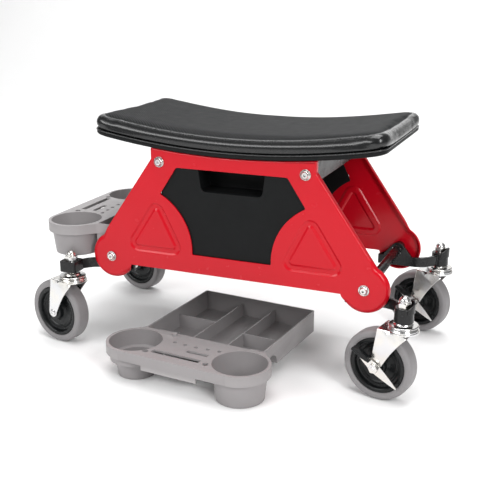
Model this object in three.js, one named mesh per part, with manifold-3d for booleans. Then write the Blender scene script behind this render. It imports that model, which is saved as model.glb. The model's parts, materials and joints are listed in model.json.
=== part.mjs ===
// A rolling mechanic's seat: a padded seat on two stamped side plates, four swivel casters and two
// slide-in tool trays, one of them docked in the left end and one lying on the floor in front.
// Millimetres. +X runs along the seat, +Y to its back, +Z up.
import * as THREE from 'three';
import { mergeVertices } from 'three/addons/utils/BufferGeometryUtils.js';
import Module from 'manifold-3d';

const wasm = await Module();
wasm.setup();

// ---- driving dimensions ---------------------------------------------------------------------
const GAP = 0.3;                      // clearance between pieces that touch

const SEAT = { length: 440, width: 228, cornerRadius: 20, underside: 310, sag: 4.4e-4 };
const BOARD_THICKNESS = 6;
const CUSHION_THICKNESS = 25;

const PLATE = { faceY: 108, thickness: 2.5, flange: 9, top: 309.6, bottom: 135 };
const SHOULDER = { x: 124.5, z: 299.5 };           // where the upright edge turns into the slant
const KNUCKLE = { x: 196, z: 145, radius: 34.5 };
const SLANT_END = { x: 213.5, z: 173.5 };          // a second point on the slanted edge
const WINDOW = { topX: 84, topZ: 290, bottomZ: 163, arcX: 152, arcZ: 168, arcRadius: 91, arcStart: 117 };
const EMBOSS = {
  corners: [[118, 221], [93, 172], [150, 172]],
  outer: 13, inner: 4, depth: 1.2, ridge: 1.4,
};
const PANEL = { thickness: 3, overlap: 6, handX: 52, handBottomX: 46, handZ: 258 };
const POCKET = { depth: 42, wall: 2, top: 292 };

const TOP_BOLT = { x: 110, z: 296.5, shank: 3, reach: 12 };
const LOW_BOLT = { x: KNUCKLE.x, z: KNUCKLE.z, shank: 4, reach: 38 };
const BOLT_HEAD = { washer: 7.6, washerThickness: 1.5, radius: 5.8, height: 3.4, socket: 2.4 };
const BRACE = { fromX: 96.5, toX: 121.5, bottom: 284, top: 313.6, wall: 2.5 };
const SHELF = { halfLength: 105, top: 155.5, thickness: 2, legs: 17 };
const SCREW = { x: 109, y: 60, shank: 2.5, hole: 2.8, head: 5.5 };
const CROSS_TUBE = { radius: 7, bore: 4.4, halfLength: 83 };
const LOW_NUT = { radius: 7.6, thickness: 6.4 };

const ARM = { y: 93, thickness: 6, bottom: 119, top: 134, innerX: 166, bendX: 221 };
const ARM_EAR = { radius: 10.5, boss: 9 };
const ARM_EYE = { bottom: 117, top: 137, radius: 12.5, plateRadius: 16, plateThickness: 4 };

const STEM = { x: 256, y: 127.5, radius: 6, top: 147 };
const RACE = { radius: 20.5, bottom: 110.5, top: 116.5 };
const ACORN = { radius: 9.6, hexHeight: 7, domeHeight: 8.5 };
const FORK = { crownBottom: 103.5, crownTop: 106.5, crownRadius: 21.5, inner: 15.5, outer: 18, tip: 7.5 };
const WHEEL = { radius: 50, width: 25, coreRadius: 39.3, trail: 30, axle: 4 };
const AXLE_HEX = { radius: 7, height: 4.5, sides: 6 };
const AXLE_RIVET = { radius: 5, height: 1.6, sides: 12 };
const BRAKE = { angle: 35, halfLength: 40, halfWidth: 5.5, thickness: 2.2 };

const TRAY = { halfWidth: 98, depth: 266, height: 50, floor: 16, wall: 2.2, band: 15, deckBack: 177 };
const CUP = { x: 85, y: -223, rim: 43, bore: 38.6, body: 39.4, foot: 34, wall: 2.2 };
const STEPPED_CUP = { step: 24, body: 30, foot: 27.5 };
const TRAY_NOTCH = { y: -152, radius: 18, skin: 2.2, reach: 34 };
const DOCKED_TRAY = { x: -48, rimZ: 190 };
const LOOSE_TRAY = { x: -12, y: 33, turn: -5.3, lift: 0.2 };

// Each corner of the seat: its side, its end, where its wheel trails to, and whether it has a brake.
const CORNERS = [
  { name: 'front_left', side: -1, end: -1, trailsTo: 169, brake: false },
  { name: 'front_right', side: -1, end: 1, trailsTo: 169, brake: true },
  { name: 'rear_left', side: 1, end: -1, trailsTo: 168, brake: false },
  { name: 'rear_right', side: 1, end: 1, trailsTo: 165, brake: true },
];

// ---- materials ------------------------------------------------------------------------------
function finish(color, roughness, metalness) {
  return new THREE.MeshStandardMaterial({ color, roughness, metalness });
}
const RED_ENAMEL = finish(0xd3202c, 0.32, 0.1);
const BLACK_ENAMEL = finish(0x161718, 0.4, 0.2);
const BLACK_PANEL = finish(0x1c1e1f, 0.5, 0);
const BLACK_PLASTIC = finish(0x15191a, 0.45, 0);
const ZINC = finish(0xd8d8d6, 0.25, 1);
const GREY_RUBBER = finish(0x8f8a8b, 0.7, 0);
const GREY_PLASTIC = finish(0x8e8b8c, 0.5, 0);
const SEAT_VINYL = finish(0x26282a, 0.35, 0);

// ---- solids ---------------------------------------------------------------------------------
function toSolid(geometry) {
  const bare = geometry.clone();
  bare.deleteAttribute('normal');
  bare.deleteAttribute('uv');
  const merged = mergeVertices(bare, 1e-4);
  const vertProperties = new Float32Array(merged.attributes.position.array);
  const triVerts = new Uint32Array(merged.index.array);
  return new wasm.Manifold(new wasm.Mesh({ numProp: 3, vertProperties, triVerts }));
}

function toGeometry(solid) {
  const mesh = solid.getMesh();
  const geometry = new THREE.BufferGeometry();
  geometry.setAttribute('position', new THREE.BufferAttribute(new Float32Array(mesh.vertProperties), 3));
  geometry.setIndex(new THREE.BufferAttribute(new Uint32Array(mesh.triVerts), 1));
  geometry.computeVertexNormals();
  return geometry;
}

function joined(...geometries) {
  return geometries.map(toSolid).reduce((whole, piece) => whole.add(piece));
}

// A plan outline raised from z0 to z1.
function prism(shape, z0, z1, curveSegments = 6) {
  const geometry = new THREE.ExtrudeGeometry(shape, { depth: z1 - z0, bevelEnabled: false, curveSegments });
  return geometry.translate(0, 0, z0);
}

// An outline drawn in x and z, made solid from y0 to y1.
function upright(shape, y0, y1, curveSegments = 6) {
  const geometry = new THREE.ExtrudeGeometry(shape, { depth: y1 - y0, bevelEnabled: false, curveSegments });
  return geometry.rotateX(Math.PI / 2).translate(0, y1, 0);
}

function block(x0, x1, y0, y1, z0, z1) {
  const box = new THREE.BoxGeometry(x1 - x0, y1 - y0, z1 - z0);
  return box.translate((x0 + x1) / 2, (y0 + y1) / 2, (z0 + z1) / 2);
}

function postZ(x, y, z0, z1, topRadius, bottomRadius = topRadius, sides = 16) {
  const post = new THREE.CylinderGeometry(topRadius, bottomRadius, z1 - z0, sides);
  return post.rotateX(Math.PI / 2).translate(x, y, (z0 + z1) / 2);
}

function pinY(x, z, y0, y1, radius, sides = 12) {
  return new THREE.CylinderGeometry(radius, radius, y1 - y0, sides).translate(x, (y0 + y1) / 2, z);
}

function pinX(y, z, x0, x1, radius, sides = 24) {
  const pin = new THREE.CylinderGeometry(radius, radius, x1 - x0, sides);
  return pin.rotateZ(Math.PI / 2).translate((x0 + x1) / 2, y, z);
}

// A profile of [radius, height] pairs turned about the Z axis.
function turned(profile, sides = 20) {
  const points = profile.map(([radius, height]) => new THREE.Vector2(radius, height));
  return new THREE.LatheGeometry(points, sides).rotateX(Math.PI / 2);
}

function outline(points) {
  return new THREE.Shape(points.map(([x, y]) => new THREE.Vector2(x, y)));
}

function mirrored(points) {
  return points.map(([x, z]) => [-x, z]).reverse();
}

function arcPoints(cx, cy, radius, fromDegrees, toDegrees, steps) {
  const points = [];
  for (let i = 0; i <= steps; i += 1) {
    const angle = THREE.MathUtils.degToRad(fromDegrees + ((toDegrees - fromDegrees) * i) / steps);
    points.push([cx + radius * Math.cos(angle), cy + radius * Math.sin(angle)]);
  }
  return points;
}

function roundedRectangle(x0, x1, y0, y1, radius) {
  const shape = new THREE.Shape();
  shape.absarc(x1 - radius, y1 - radius, radius, 0, Math.PI / 2);
  shape.absarc(x0 + radius, y1 - radius, radius, Math.PI / 2, Math.PI);
  shape.absarc(x0 + radius, y0 + radius, radius, Math.PI, 1.5 * Math.PI);
  shape.absarc(x1 - radius, y0 + radius, radius, 1.5 * Math.PI, 2 * Math.PI);
  return shape;
}

// Points around a polygon whose sides are moved out by radius and whose corners are round.
function roundedAround(corners, radius) {
  const points = [];
  corners.forEach(([x, y], i) => {
    const [bx, by] = corners[(i + corners.length - 1) % corners.length];
    const [nx, ny] = corners[(i + 1) % corners.length];
    const from = THREE.MathUtils.radToDeg(Math.atan2(y - by, x - bx)) - 90;
    const to = THREE.MathUtils.radToDeg(Math.atan2(ny - y, nx - x)) - 90;
    const sweep = (((to - from) % 360) + 360) % 360;
    points.push(...arcPoints(x, y, radius, from, from + sweep, 3));
  });
  return outline(points);
}

// ---- assembly -------------------------------------------------------------------------------
const seatAssembly = new THREE.Group();

function add(name, shape, material, parent = seatAssembly) {
  const geometry = shape.isBufferGeometry ? shape : toGeometry(shape);
  const mesh = new THREE.Mesh(geometry, material);
  mesh.name = name;
  parent.add(mesh);
  return mesh;
}

// The front of the seat is at -Y. side is -1 at the front and +1 at the rear.
function facing(side, geometry) {
  return side < 0 ? geometry : geometry.rotateZ(Math.PI);
}

// ---- side plates ----------------------------------------------------------------------------
function curveAt(height, x) {
  return height + SEAT.sag * x * x;
}

// Where the slanted edge, moved in by inset, meets the knuckle's circle.
function slantMeetsKnuckle(inset) {
  const along = new THREE.Vector2(SLANT_END.x - SHOULDER.x, SLANT_END.z - SHOULDER.z).normalize();
  const start = new THREE.Vector2(SHOULDER.x + along.y * inset, SHOULDER.z - along.x * inset);
  const away = start.clone().sub(new THREE.Vector2(KNUCKLE.x, KNUCKLE.z));
  const toward = away.dot(along);
  const radius = KNUCKLE.radius - inset;
  const distance = -toward - Math.sqrt(toward * toward - away.lengthSq() + radius * radius);
  return start.addScaledVector(along, distance);
}

// The plate's outline moved in by inset. An open outline runs on down past the bottom edge, between
// the knuckles, so that cutting it out leaves a flange everywhere but there.
function plateOutline(inset, open = false) {
  const right = [];
  const shoulderX = SHOULDER.x - inset;
  for (let i = 0; i <= 5; i += 1) {
    const x = (shoulderX * i) / 5;
    right.push([x, curveAt(PLATE.top, x) - inset]);
  }
  const join = slantMeetsKnuckle(inset);
  right.push([shoulderX, SHOULDER.z - inset * 0.3], [join.x, join.y]);
  const radius = KNUCKLE.radius - inset;
  const from = THREE.MathUtils.radToDeg(Math.atan2(join.y - KNUCKLE.z, join.x - KNUCKLE.x));
  const drop = Math.asin((KNUCKLE.z - PLATE.bottom) / radius);
  const to = THREE.MathUtils.radToDeg(drop) - 180;
  right.push(...arcPoints(KNUCKLE.x, KNUCKLE.z, radius, from, to, 10).slice(1));
  if (open) {
    right.push([right[right.length - 1][0], PLATE.bottom - 1]);
  }
  return outline([...right, ...mirrored(right).slice(0, -1)]);
}

function windowOutline(grow) {
  const radius = WINDOW.arcRadius - grow;
  const bottom = WINDOW.bottomZ - grow;
  const end = 180 + THREE.MathUtils.radToDeg(Math.asin((WINDOW.arcZ - bottom) / radius));
  const right = [
    [WINDOW.topX + grow * 0.6, WINDOW.topZ + grow],
    ...arcPoints(WINDOW.arcX, WINDOW.arcZ, radius, WINDOW.arcStart, end, 6),
  ];
  return [...right, ...mirrored(right)];
}

function embossRings(y0, y1) {
  return [1, -1].map((end) => {
    const corners = EMBOSS.corners.map(([x, z]) => [end * x, z]);
    const ordered = end > 0 ? corners : corners.reverse();
    const outer = toSolid(upright(roundedAround(ordered, EMBOSS.outer), y0, y1));
    return outer.subtract(toSolid(upright(roundedAround(ordered, EMBOSS.inner), y0 - 1, y1 + 1)));
  });
}

function sidePlate() {
  const face = -PLATE.faceY;
  const back = face + PLATE.thickness;
  const flangeEnd = face + PLATE.flange;
  let plate = toSolid(upright(plateOutline(0), face, flangeEnd));
  plate = plate.subtract(toSolid(upright(plateOutline(PLATE.thickness, true), back, flangeEnd + 1)));
  plate = plate.subtract(toSolid(upright(outline(windowOutline(0)), face - 1, back + 1)));
  embossRings(face - 1, face + EMBOSS.depth).forEach((groove) => {
    plate = plate.subtract(groove);
  });
  embossRings(back - 0.1, back + EMBOSS.ridge).forEach((ridge) => {
    plate = plate.add(ridge);
  });
  [-1, 1].forEach((end) => {
    const top = pinY(end * TOP_BOLT.x, TOP_BOLT.z, face - 1, back + 1, TOP_BOLT.shank + GAP);
    const low = pinY(end * LOW_BOLT.x, LOW_BOLT.z, face - 1, back + 1, LOW_BOLT.shank + GAP);
    plate = plate.subtract(toSolid(top)).subtract(toSolid(low));
  });
  return toGeometry(plate);
}

// A flat black panel behind the plate's window, with a hand-hole notched into its top edge and a
// closed pocket behind the hole.
function panel() {
  const outer = -PLATE.faceY + PLATE.thickness + GAP;
  const inner = outer + PANEL.thickness;
  const { depth, wall, top } = POCKET;
  const reachX = PANEL.handX + wall;
  const shell = block(-reachX, reachX, inner - 1, inner + depth, PANEL.handZ - wall, top + wall);
  const hollow = block(-PANEL.handX, PANEL.handX, outer - 1, inner + depth - wall, PANEL.handZ, top);
  const body = joined(upright(outline(windowOutline(PANEL.overlap)), outer, inner), shell)
    .subtract(toSolid(hollow).intersect(toSolid(block(-reachX, reachX, inner, inner + depth, 0, top))));
  const radius = 8;
  const notch = [
    [PANEL.handX, WINDOW.topZ + 20],
    ...arcPoints(PANEL.handBottomX - radius, PANEL.handZ + radius, radius, 0, -90, 5),
  ];
  const cut = upright(outline([...notch, ...mirrored(notch)]), outer - 1, inner + 0.1);
  return toGeometry(body.subtract(toSolid(cut)));
}

[[-1, 'front'], [1, 'rear']].forEach(([side, place]) => {
  add(`side_plate_${place}`, facing(side, sidePlate()), RED_ENAMEL);
  add(`window_panel_${place}`, facing(side, panel()), BLACK_PANEL);
});

// ---- cross members --------------------------------------------------------------------------
// A channel under the seat, open below, with closed ends that the top bolts pass into.
function seatBrace(end) {
  const reach = PLATE.faceY - PLATE.thickness - GAP;
  const flangeZone = PLATE.faceY - PLATE.flange - 0.4;
  const { fromX, toX, bottom, top, wall } = BRACE;
  let brace = toSolid(block(fromX, toX, -reach, reach, bottom, top));
  const hollow = block(fromX + wall, toX - wall, -reach + 3, reach - 3, bottom - 1, top - wall);
  brace = brace.subtract(toSolid(hollow));
  [-1, 1].forEach((side) => {
    const outer = side * (reach + 1);
    const inner = side * flangeZone;
    const [nearY, farY] = [Math.min(outer, inner), Math.max(outer, inner)];
    const corner = block(fromX - 1, toX + 1, nearY, farY, top - 2.7, top + 1);
    brace = brace.subtract(toSolid(corner));
    const hole = postZ(SCREW.x, side * SCREW.y, bottom, top + 1, SCREW.hole, SCREW.hole, 10);
    brace = brace.subtract(toSolid(hole));
  });
  const boltHole = pinY(TOP_BOLT.x, TOP_BOLT.z, -reach - 1, reach + 1, TOP_BOLT.shank + GAP);
  brace = brace.subtract(toSolid(boltHole));
  const geometry = toGeometry(brace);
  return end > 0 ? geometry : geometry.rotateZ(Math.PI);
}

function trayShelf() {
  const { halfLength, top, thickness, legs } = SHELF;
  const reach = PLATE.faceY - PLATE.thickness - GAP;
  const body = toSolid(block(-halfLength, halfLength, -reach, reach, top - legs, top));
  const [bottom, roof] = [top - legs - 1, top - thickness];
  const hollow = block(-halfLength - 1, halfLength + 1, -reach + 2, reach - 2, bottom, roof);
  return body.subtract(toSolid(hollow));
}

function crossTube(end) {
  const { radius, bore, halfLength } = CROSS_TUBE;
  const tube = toSolid(pinY(end * KNUCKLE.x, KNUCKLE.z, -halfLength, halfLength, radius));
  return tube.subtract(toSolid(pinY(end * KNUCKLE.x, KNUCKLE.z, -halfLength - 1, halfLength + 1, bore)));
}

[[-1, 'left'], [1, 'right']].forEach(([end, place]) => {
  add(`seat_brace_${place}`, seatBrace(end), BLACK_ENAMEL);
  add(`cross_tube_${place}`, crossTube(end), BLACK_ENAMEL);
});
add('tray_shelf', trayShelf(), BLACK_ENAMEL);

// ---- fasteners ------------------------------------------------------------------------------
// A button-head socket bolt with its washer, head towards -Y, its bearing face at y = 0.
function buttonBolt(shank, reach) {
  const { washer, washerThickness, radius, height, socket } = BOLT_HEAD;
  const top = washerThickness + height;
  const profile = [
    [0, -reach], [shank, -reach], [shank, 0], [washer, 0], [washer, washerThickness],
    [radius, washerThickness], [radius * 0.7, top], [0, top],
  ];
  const bolt = toSolid(turned(profile, 12));
  const hex = new THREE.CylinderGeometry(socket, socket, 5, 6).rotateX(Math.PI / 2);
  return toGeometry(bolt.subtract(toSolid(hex.translate(0, 0, top)))).rotateX(Math.PI / 2);
}

function hexNut(radius, thickness, bore) {
  const nut = toSolid(new THREE.CylinderGeometry(radius, radius, thickness, 6));
  return nut.subtract(toSolid(new THREE.CylinderGeometry(bore, bore, thickness + 2, 12)));
}

CORNERS.forEach(({ name, side, end }) => {
  const faceY = side * (PLATE.faceY + GAP);
  const top = add(`top_bolt_${name}`, facing(side, buttonBolt(TOP_BOLT.shank, TOP_BOLT.reach)), ZINC);
  top.position.set(end * TOP_BOLT.x, faceY, TOP_BOLT.z);
  const low = add(`knuckle_bolt_${name}`, facing(side, buttonBolt(LOW_BOLT.shank, LOW_BOLT.reach)), ZINC);
  low.position.set(end * LOW_BOLT.x, faceY, LOW_BOLT.z);
  const nutY = ARM.y - ARM.thickness / 2 - GAP - LOW_NUT.thickness / 2;
  const nutShape = hexNut(LOW_NUT.radius, LOW_NUT.thickness, LOW_BOLT.shank + GAP);
  const nut = add(`knuckle_nut_${name}`, nutShape, ZINC);
  nut.position.set(end * LOW_BOLT.x, side * nutY, LOW_BOLT.z);
});

// ---- caster arms ----------------------------------------------------------------------------
// A bar on edge from the knuckle bolt to the stem, drawn for the front right corner: an ear with a
// boss takes the knuckle bolt, and a socket with a round top plate takes the caster's stem.
function casterArm() {
  const outer = -ARM.y - ARM.thickness / 2;
  const inner = -ARM.y + ARM.thickness / 2;
  const bar = new THREE.Shape();
  bar.moveTo(ARM.innerX, outer);
  bar.lineTo(ARM.bendX, outer);
  bar.quadraticCurveTo(ARM.bendX + 22, outer - 2, STEM.x - 8, -STEM.y - 6);
  bar.lineTo(STEM.x + 2, -STEM.y + 8);
  bar.quadraticCurveTo(ARM.bendX + 26, inner - 2, ARM.bendX, inner);
  bar.lineTo(ARM.innerX, inner);
  const earFoot = ARM.bottom + 12;
  const earCorners = [[KNUCKLE.x, KNUCKLE.z], [KNUCKLE.x - 12, earFoot], [KNUCKLE.x + 12, earFoot]];
  const ear = roundedAround(earCorners, ARM_EAR.radius);
  const plateInside = -PLATE.faceY + PLATE.thickness + GAP;
  const eyeTop = ARM_EYE.top;
  let arm = joined(
    prism(bar, ARM.bottom, ARM.top),
    upright(ear, outer, inner),
    pinY(KNUCKLE.x, KNUCKLE.z, plateInside, outer + 1, ARM_EAR.boss),
    postZ(STEM.x, -STEM.y, ARM_EYE.bottom, eyeTop, ARM_EYE.radius),
    postZ(STEM.x, -STEM.y, eyeTop - ARM_EYE.plateThickness, eyeTop, ARM_EYE.plateRadius),
  );
  arm = arm.subtract(toSolid(pinY(KNUCKLE.x, KNUCKLE.z, plateInside - 1, inner + 1, LOW_BOLT.shank + GAP)));
  return arm.subtract(toSolid(postZ(STEM.x, -STEM.y, ARM_EYE.bottom - 1, eyeTop + 1, STEM.radius + GAP)));
}

// The four arms mirror each other, so each copy is reflected and its triangles turned back outward.
function reflected(geometry, flipX, flipY) {
  const copy = geometry.clone().scale(flipX, flipY, 1);
  if (flipX * flipY < 0) {
    const index = copy.index.array;
    for (let i = 0; i < index.length; i += 3) {
      [index[i], index[i + 1]] = [index[i + 1], index[i]];
    }
  }
  return copy;
}

const armGeometry = toGeometry(casterArm());
CORNERS.forEach(({ name, side, end }) => {
  add(`caster_arm_${name}`, reflected(armGeometry, end, -side), BLACK_ENAMEL);
});

// ---- casters --------------------------------------------------------------------------------
// Each caster is drawn with its stem on the Z axis and its wheel trailing towards +X.
function casterStem() {
  const { radius, bottom, top } = RACE;
  return turned([
    [0, FORK.crownBottom + GAP], [STEM.radius, FORK.crownBottom + GAP], [STEM.radius, bottom],
    [radius, bottom], [radius, bottom + 2.6], [radius - 9, top], [STEM.radius, top],
    [STEM.radius, STEM.top], [0, STEM.top],
  ], 16);
}

function acornNut() {
  const base = ARM_EYE.top + GAP;
  const { radius, hexHeight, domeHeight } = ACORN;
  const hex = postZ(0, 0, base, base + hexHeight, radius, radius, 6);
  const dome = turned([
    [0, base + 1], [radius * 0.82, base + 1], [radius * 0.82, base + hexHeight],
    [radius * 0.7, base + hexHeight + domeHeight * 0.55],
    [radius * 0.38, base + hexHeight + domeHeight * 0.9], [0, base + hexHeight + domeHeight],
  ], 16);
  const bore = postZ(0, 0, base - 1, STEM.top + GAP, STEM.radius + GAP, STEM.radius + GAP, 16);
  return joined(hex, dome).subtract(toSolid(bore));
}

function fork() {
  const { crownBottom, crownTop, crownRadius, inner, outer, tip } = FORK;
  const axleZ = WHEEL.radius;
  const rear = WHEEL.trail + tip;
  const crownRear = WHEEL.trail;
  const crown = new THREE.Shape();
  crown.absarc(0, 0, crownRadius, 1.0, 2 * Math.PI - 1.0);
  crown.lineTo(crownRear, -outer);
  crown.lineTo(crownRear, outer);
  const front = -Math.sqrt(crownRadius * crownRadius - outer * outer);
  const leg = new THREE.Shape();
  leg.moveTo(rear, axleZ);
  leg.lineTo(crownRear, crownTop);
  leg.lineTo(front, crownTop);
  leg.lineTo(front, crownBottom - 4);
  leg.quadraticCurveTo(14, 78, WHEEL.trail - tip, axleZ);
  leg.absarc(WHEEL.trail, axleZ, tip, Math.PI, 2 * Math.PI);
  let body = joined(
    prism(crown, crownBottom, crownTop, 8),
    upright(leg, inner, outer, 4),
    upright(leg, -outer, -inner, 4),
    postZ(0, 0, crownTop - 1, RACE.bottom - GAP, RACE.radius - 2, RACE.radius, 16),
  );
  body = body.subtract(toSolid(postZ(0, 0, crownBottom - 1, RACE.bottom + 1, STEM.radius + GAP)));
  body = body.subtract(toSolid(postZ(0, 0, crownTop + 1, RACE.bottom + 1, RACE.radius - 6)));
  const outside = outer + 1;
  return body.subtract(toSolid(pinY(WHEEL.trail, axleZ, -outside, outside, WHEEL.axle + GAP)));
}

// The wheel's pieces are turned about their own axle, which runs along Y.
function wheelCore() {
  const bore = WHEEL.axle + GAP;
  const half = WHEEL.width / 2 - 1;
  const side = [[12, 4.5], [32, 4.5], [34.5, half], [WHEEL.coreRadius, half]];
  const profile = [
    [bore, -14.8], [11, -14.8],
    ...side.map(([r, w]) => [r, -w]), ...side.reverse(),
    [11, 14.8], [bore, 14.8],
    [bore, -14.8],
  ];
  return turned(profile, 20).rotateX(-Math.PI / 2);
}

function tyre() {
  const half = WHEEL.width / 2;
  const inner = WHEEL.coreRadius + GAP;
  const side = [[inner, half - 1], [47.5, half], [WHEEL.radius, half - 4]];
  const profile = [...side.map(([r, w]) => [r, -w]), ...side.reverse(), [inner, 1 - half]];
  return turned(profile, 32).rotateX(-Math.PI / 2);
}

// A braked wheel turns on a bolt and nut, the others on a pin with low riveted heads.
function axleBolt(brake) {
  const side = FORK.outer + GAP;
  const headFrom = brake ? side + BRAKE.thickness + GAP : side;
  const { radius, height, sides } = brake ? AXLE_HEX : AXLE_RIVET;
  return joined(
    pinY(0, 0, -side - 1, headFrom + 1, WHEEL.axle),
    pinY(0, 0, headFrom, headFrom + height, radius, sides),
    pinY(0, 0, -side - height, -side, radius, sides),
  );
}

// A steel strip across the outside of the wheel, pivoted on the axle, its pedal end bent outward.
function brakeLever() {
  const { halfLength, halfWidth, thickness } = BRAKE;
  const near = FORK.outer + GAP;
  const strip = new THREE.Shape();
  strip.moveTo(-halfLength, -1.5);
  strip.quadraticCurveTo(-halfLength * 0.4, -halfWidth, 0, -halfWidth);
  strip.quadraticCurveTo(halfLength * 0.4, -halfWidth, halfLength, -2.5);
  strip.lineTo(halfLength, 2.5);
  strip.quadraticCurveTo(halfLength * 0.4, halfWidth, 0, halfWidth);
  strip.quadraticCurveTo(-halfLength * 0.4, halfWidth, -halfLength, 1.5);
  const pedal = block(halfLength * 0.52, halfLength, near, near + 9, -2.5, 5.5);
  const lever = joined(upright(strip, near, near + thickness, 4), pedal);
  return lever.subtract(toSolid(pinY(0, 0, near - 1, near + thickness + 1, WHEEL.axle + GAP)));
}

CORNERS.forEach(({ name, side, end, trailsTo, brake }) => {
  const caster = new THREE.Group();
  caster.position.set(end * STEM.x, side * STEM.y, 0);
  seatAssembly.add(caster);
  add(`caster_stem_${name}`, casterStem(), ZINC, caster);
  add(`acorn_nut_${name}`, acornNut(), ZINC, caster);

  const swivel = new THREE.Group();
  swivel.rotation.z = THREE.MathUtils.degToRad(trailsTo);
  caster.add(swivel);
  add(`caster_fork_${name}`, fork(), ZINC, swivel);

  const axle = new THREE.Group();
  axle.position.set(WHEEL.trail, 0, WHEEL.radius);
  swivel.add(axle);
  add(`wheel_core_${name}`, wheelCore(), BLACK_PLASTIC, axle);
  add(`tyre_${name}`, tyre(), GREY_RUBBER, axle);
  add(`axle_bolt_${name}`, axleBolt(brake), ZINC, axle);
  if (brake) {
    const lever = add(`brake_lever_${name}`, brakeLever(), ZINC, axle);
    lever.rotation.y = THREE.MathUtils.degToRad(-BRAKE.angle);
  }
});

// ---- seat -----------------------------------------------------------------------------------
// A slab that follows the seat's sag, with round corners in plan.
function saddle(length, width, cornerRadius, bottom, top) {
  const steps = 12;
  const half = length / 2;
  const lower = [];
  const upper = [];
  for (let i = 0; i <= steps; i += 1) {
    const x = half * ((2 * i) / steps - 1);
    lower.push([x, curveAt(bottom, x)]);
    upper.unshift([x, curveAt(top, x)]);
  }
  const slab = toSolid(upright(outline([...lower, ...upper]), -width / 2, width / 2));
  const plan = roundedRectangle(-half, half, -width / 2, width / 2, cornerRadius);
  return slab.intersect(toSolid(prism(plan, bottom - 1, curveAt(top, half) + 1, 5)));
}

function screwPilot(end, side) {
  const top = curveAt(SEAT.underside, SCREW.x) + 4;
  return postZ(end * SCREW.x, side * SCREW.y, SEAT.underside - 1, top, SCREW.hole, SCREW.hole, 10);
}

const boardTop = SEAT.underside + BOARD_THICKNESS;
const seatBoard = [[-1, -1], [-1, 1], [1, -1], [1, 1]].reduce((board, [end, side]) => {
  return board.subtract(toSolid(screwPilot(end, side)));
}, saddle(SEAT.length - 10, SEAT.width - 10, SEAT.cornerRadius - 5, SEAT.underside, boardTop));
add('seat_board', seatBoard, BLACK_PANEL);

const cushionBottom = boardTop + GAP;
const cushionTop = boardTop + CUSHION_THICKNESS;
const cushion = saddle(SEAT.length, SEAT.width, SEAT.cornerRadius, cushionBottom, cushionTop);
add('seat_cushion', cushion, SEAT_VINYL);

function seatScrew() {
  const underWeb = BRACE.top - BRACE.wall - GAP;
  const { shank, head } = SCREW;
  const tip = curveAt(SEAT.underside, SCREW.x) + 3;
  return turned([
    [0, underWeb - 3], [head - 1.5, underWeb - 3], [head, underWeb - 1.5], [head, underWeb],
    [shank, underWeb], [shank, tip - 2], [0, tip],
  ], 12);
}

CORNERS.forEach(({ name, side, end }) => {
  const screw = add(`seat_screw_${name}`, seatScrew(), ZINC);
  screw.position.set(end * SCREW.x, side * SCREW.y, 0);
});

// ---- trays ----------------------------------------------------------------------------------
// A tray lies with its back edge on the X axis, its two cups towards -Y and its cup feet at z = 0.
function trayOutline() {
  const { halfWidth, depth } = TRAY;
  const neck = CUP.y + CUP.rim + 16;
  const right = [
    [halfWidth, 0], [halfWidth, neck],
    ...arcPoints(halfWidth + 24, neck - 2, 24, 180, 215, 4),
    ...arcPoints(CUP.x, CUP.y, CUP.rim, 50, -90, 18),
  ];
  right[right.length - 1][1] = -depth;
  return outline([...mirrored(right), ...right]);
}

function trayCells() {
  const { halfWidth, wall, floor, height, deckBack } = TRAY;
  const inside = halfWidth - wall;
  const divider = height - 11;
  const cellFloor = floor + wall;
  const columns = [[-inside, -30, 88], [-28, 28, null], [30, inside, 108]];
  const cells = [block(-inside, inside, -deckBack, -wall, divider, height + 1)];
  columns.forEach(([x0, x1, split]) => {
    if (split === null) {
      cells.push(block(x0, x1, -deckBack, -wall, cellFloor, divider + 1));
    } else {
      cells.push(block(x0, x1, -split, -wall, cellFloor, divider + 1));
      cells.push(block(x0, x1, -deckBack, -split - 2, cellFloor, divider + 1));
    }
  });
  return joined(...cells);
}

function trayDeckCuts() {
  const { height } = TRAY;
  const slot = (x0, x1, y, width) => block(x0, x1, y - width / 2, y + width / 2, height - 6, height + 1);
  const hole = (x, y, radius) => postZ(x, y, height - 6, height + 1, radius, radius, 8);
  const cuts = [slot(-40, 32, -244, 7), slot(4, 35, -223, 6), hole(-47, -249, 4), hole(45, -247, 4)];
  for (let i = 0; i < 5; i += 1) {
    cuts.push(hole(-28 + i * 17, -207 + Math.abs(i - 1.5) * 1.5, 2.6));
  }
  return joined(...cuts);
}

// The arched notches under the two side walls, from outerX inwards. With a skin they are the humps
// that cover the notches inside the front cells.
function trayNotches(outerX, radius, skin) {
  const innerX = TRAY.halfWidth - TRAY_NOTCH.reach - skin;
  return [
    pinX(TRAY_NOTCH.y, TRAY.floor, -outerX, -innerX, radius),
    pinX(TRAY_NOTCH.y, TRAY.floor, innerX, outerX, radius),
  ];
}

// The right cup tapers evenly. The left one steps in to a narrower foot.
function cupBores() {
  const { height } = TRAY;
  const { x, y, bore, foot, wall } = CUP;
  const { step, body } = STEPPED_CUP;
  return joined(
    postZ(x, y, wall + 0.3, height + 0.01, bore, foot - wall, 28),
    postZ(-x, y, step + wall, height + 0.01, bore, bore - 2, 28),
    postZ(-x, y, wall + 0.3, step + wall + 1, body - wall, STEPPED_CUP.foot - wall, 28),
  );
}

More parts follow.
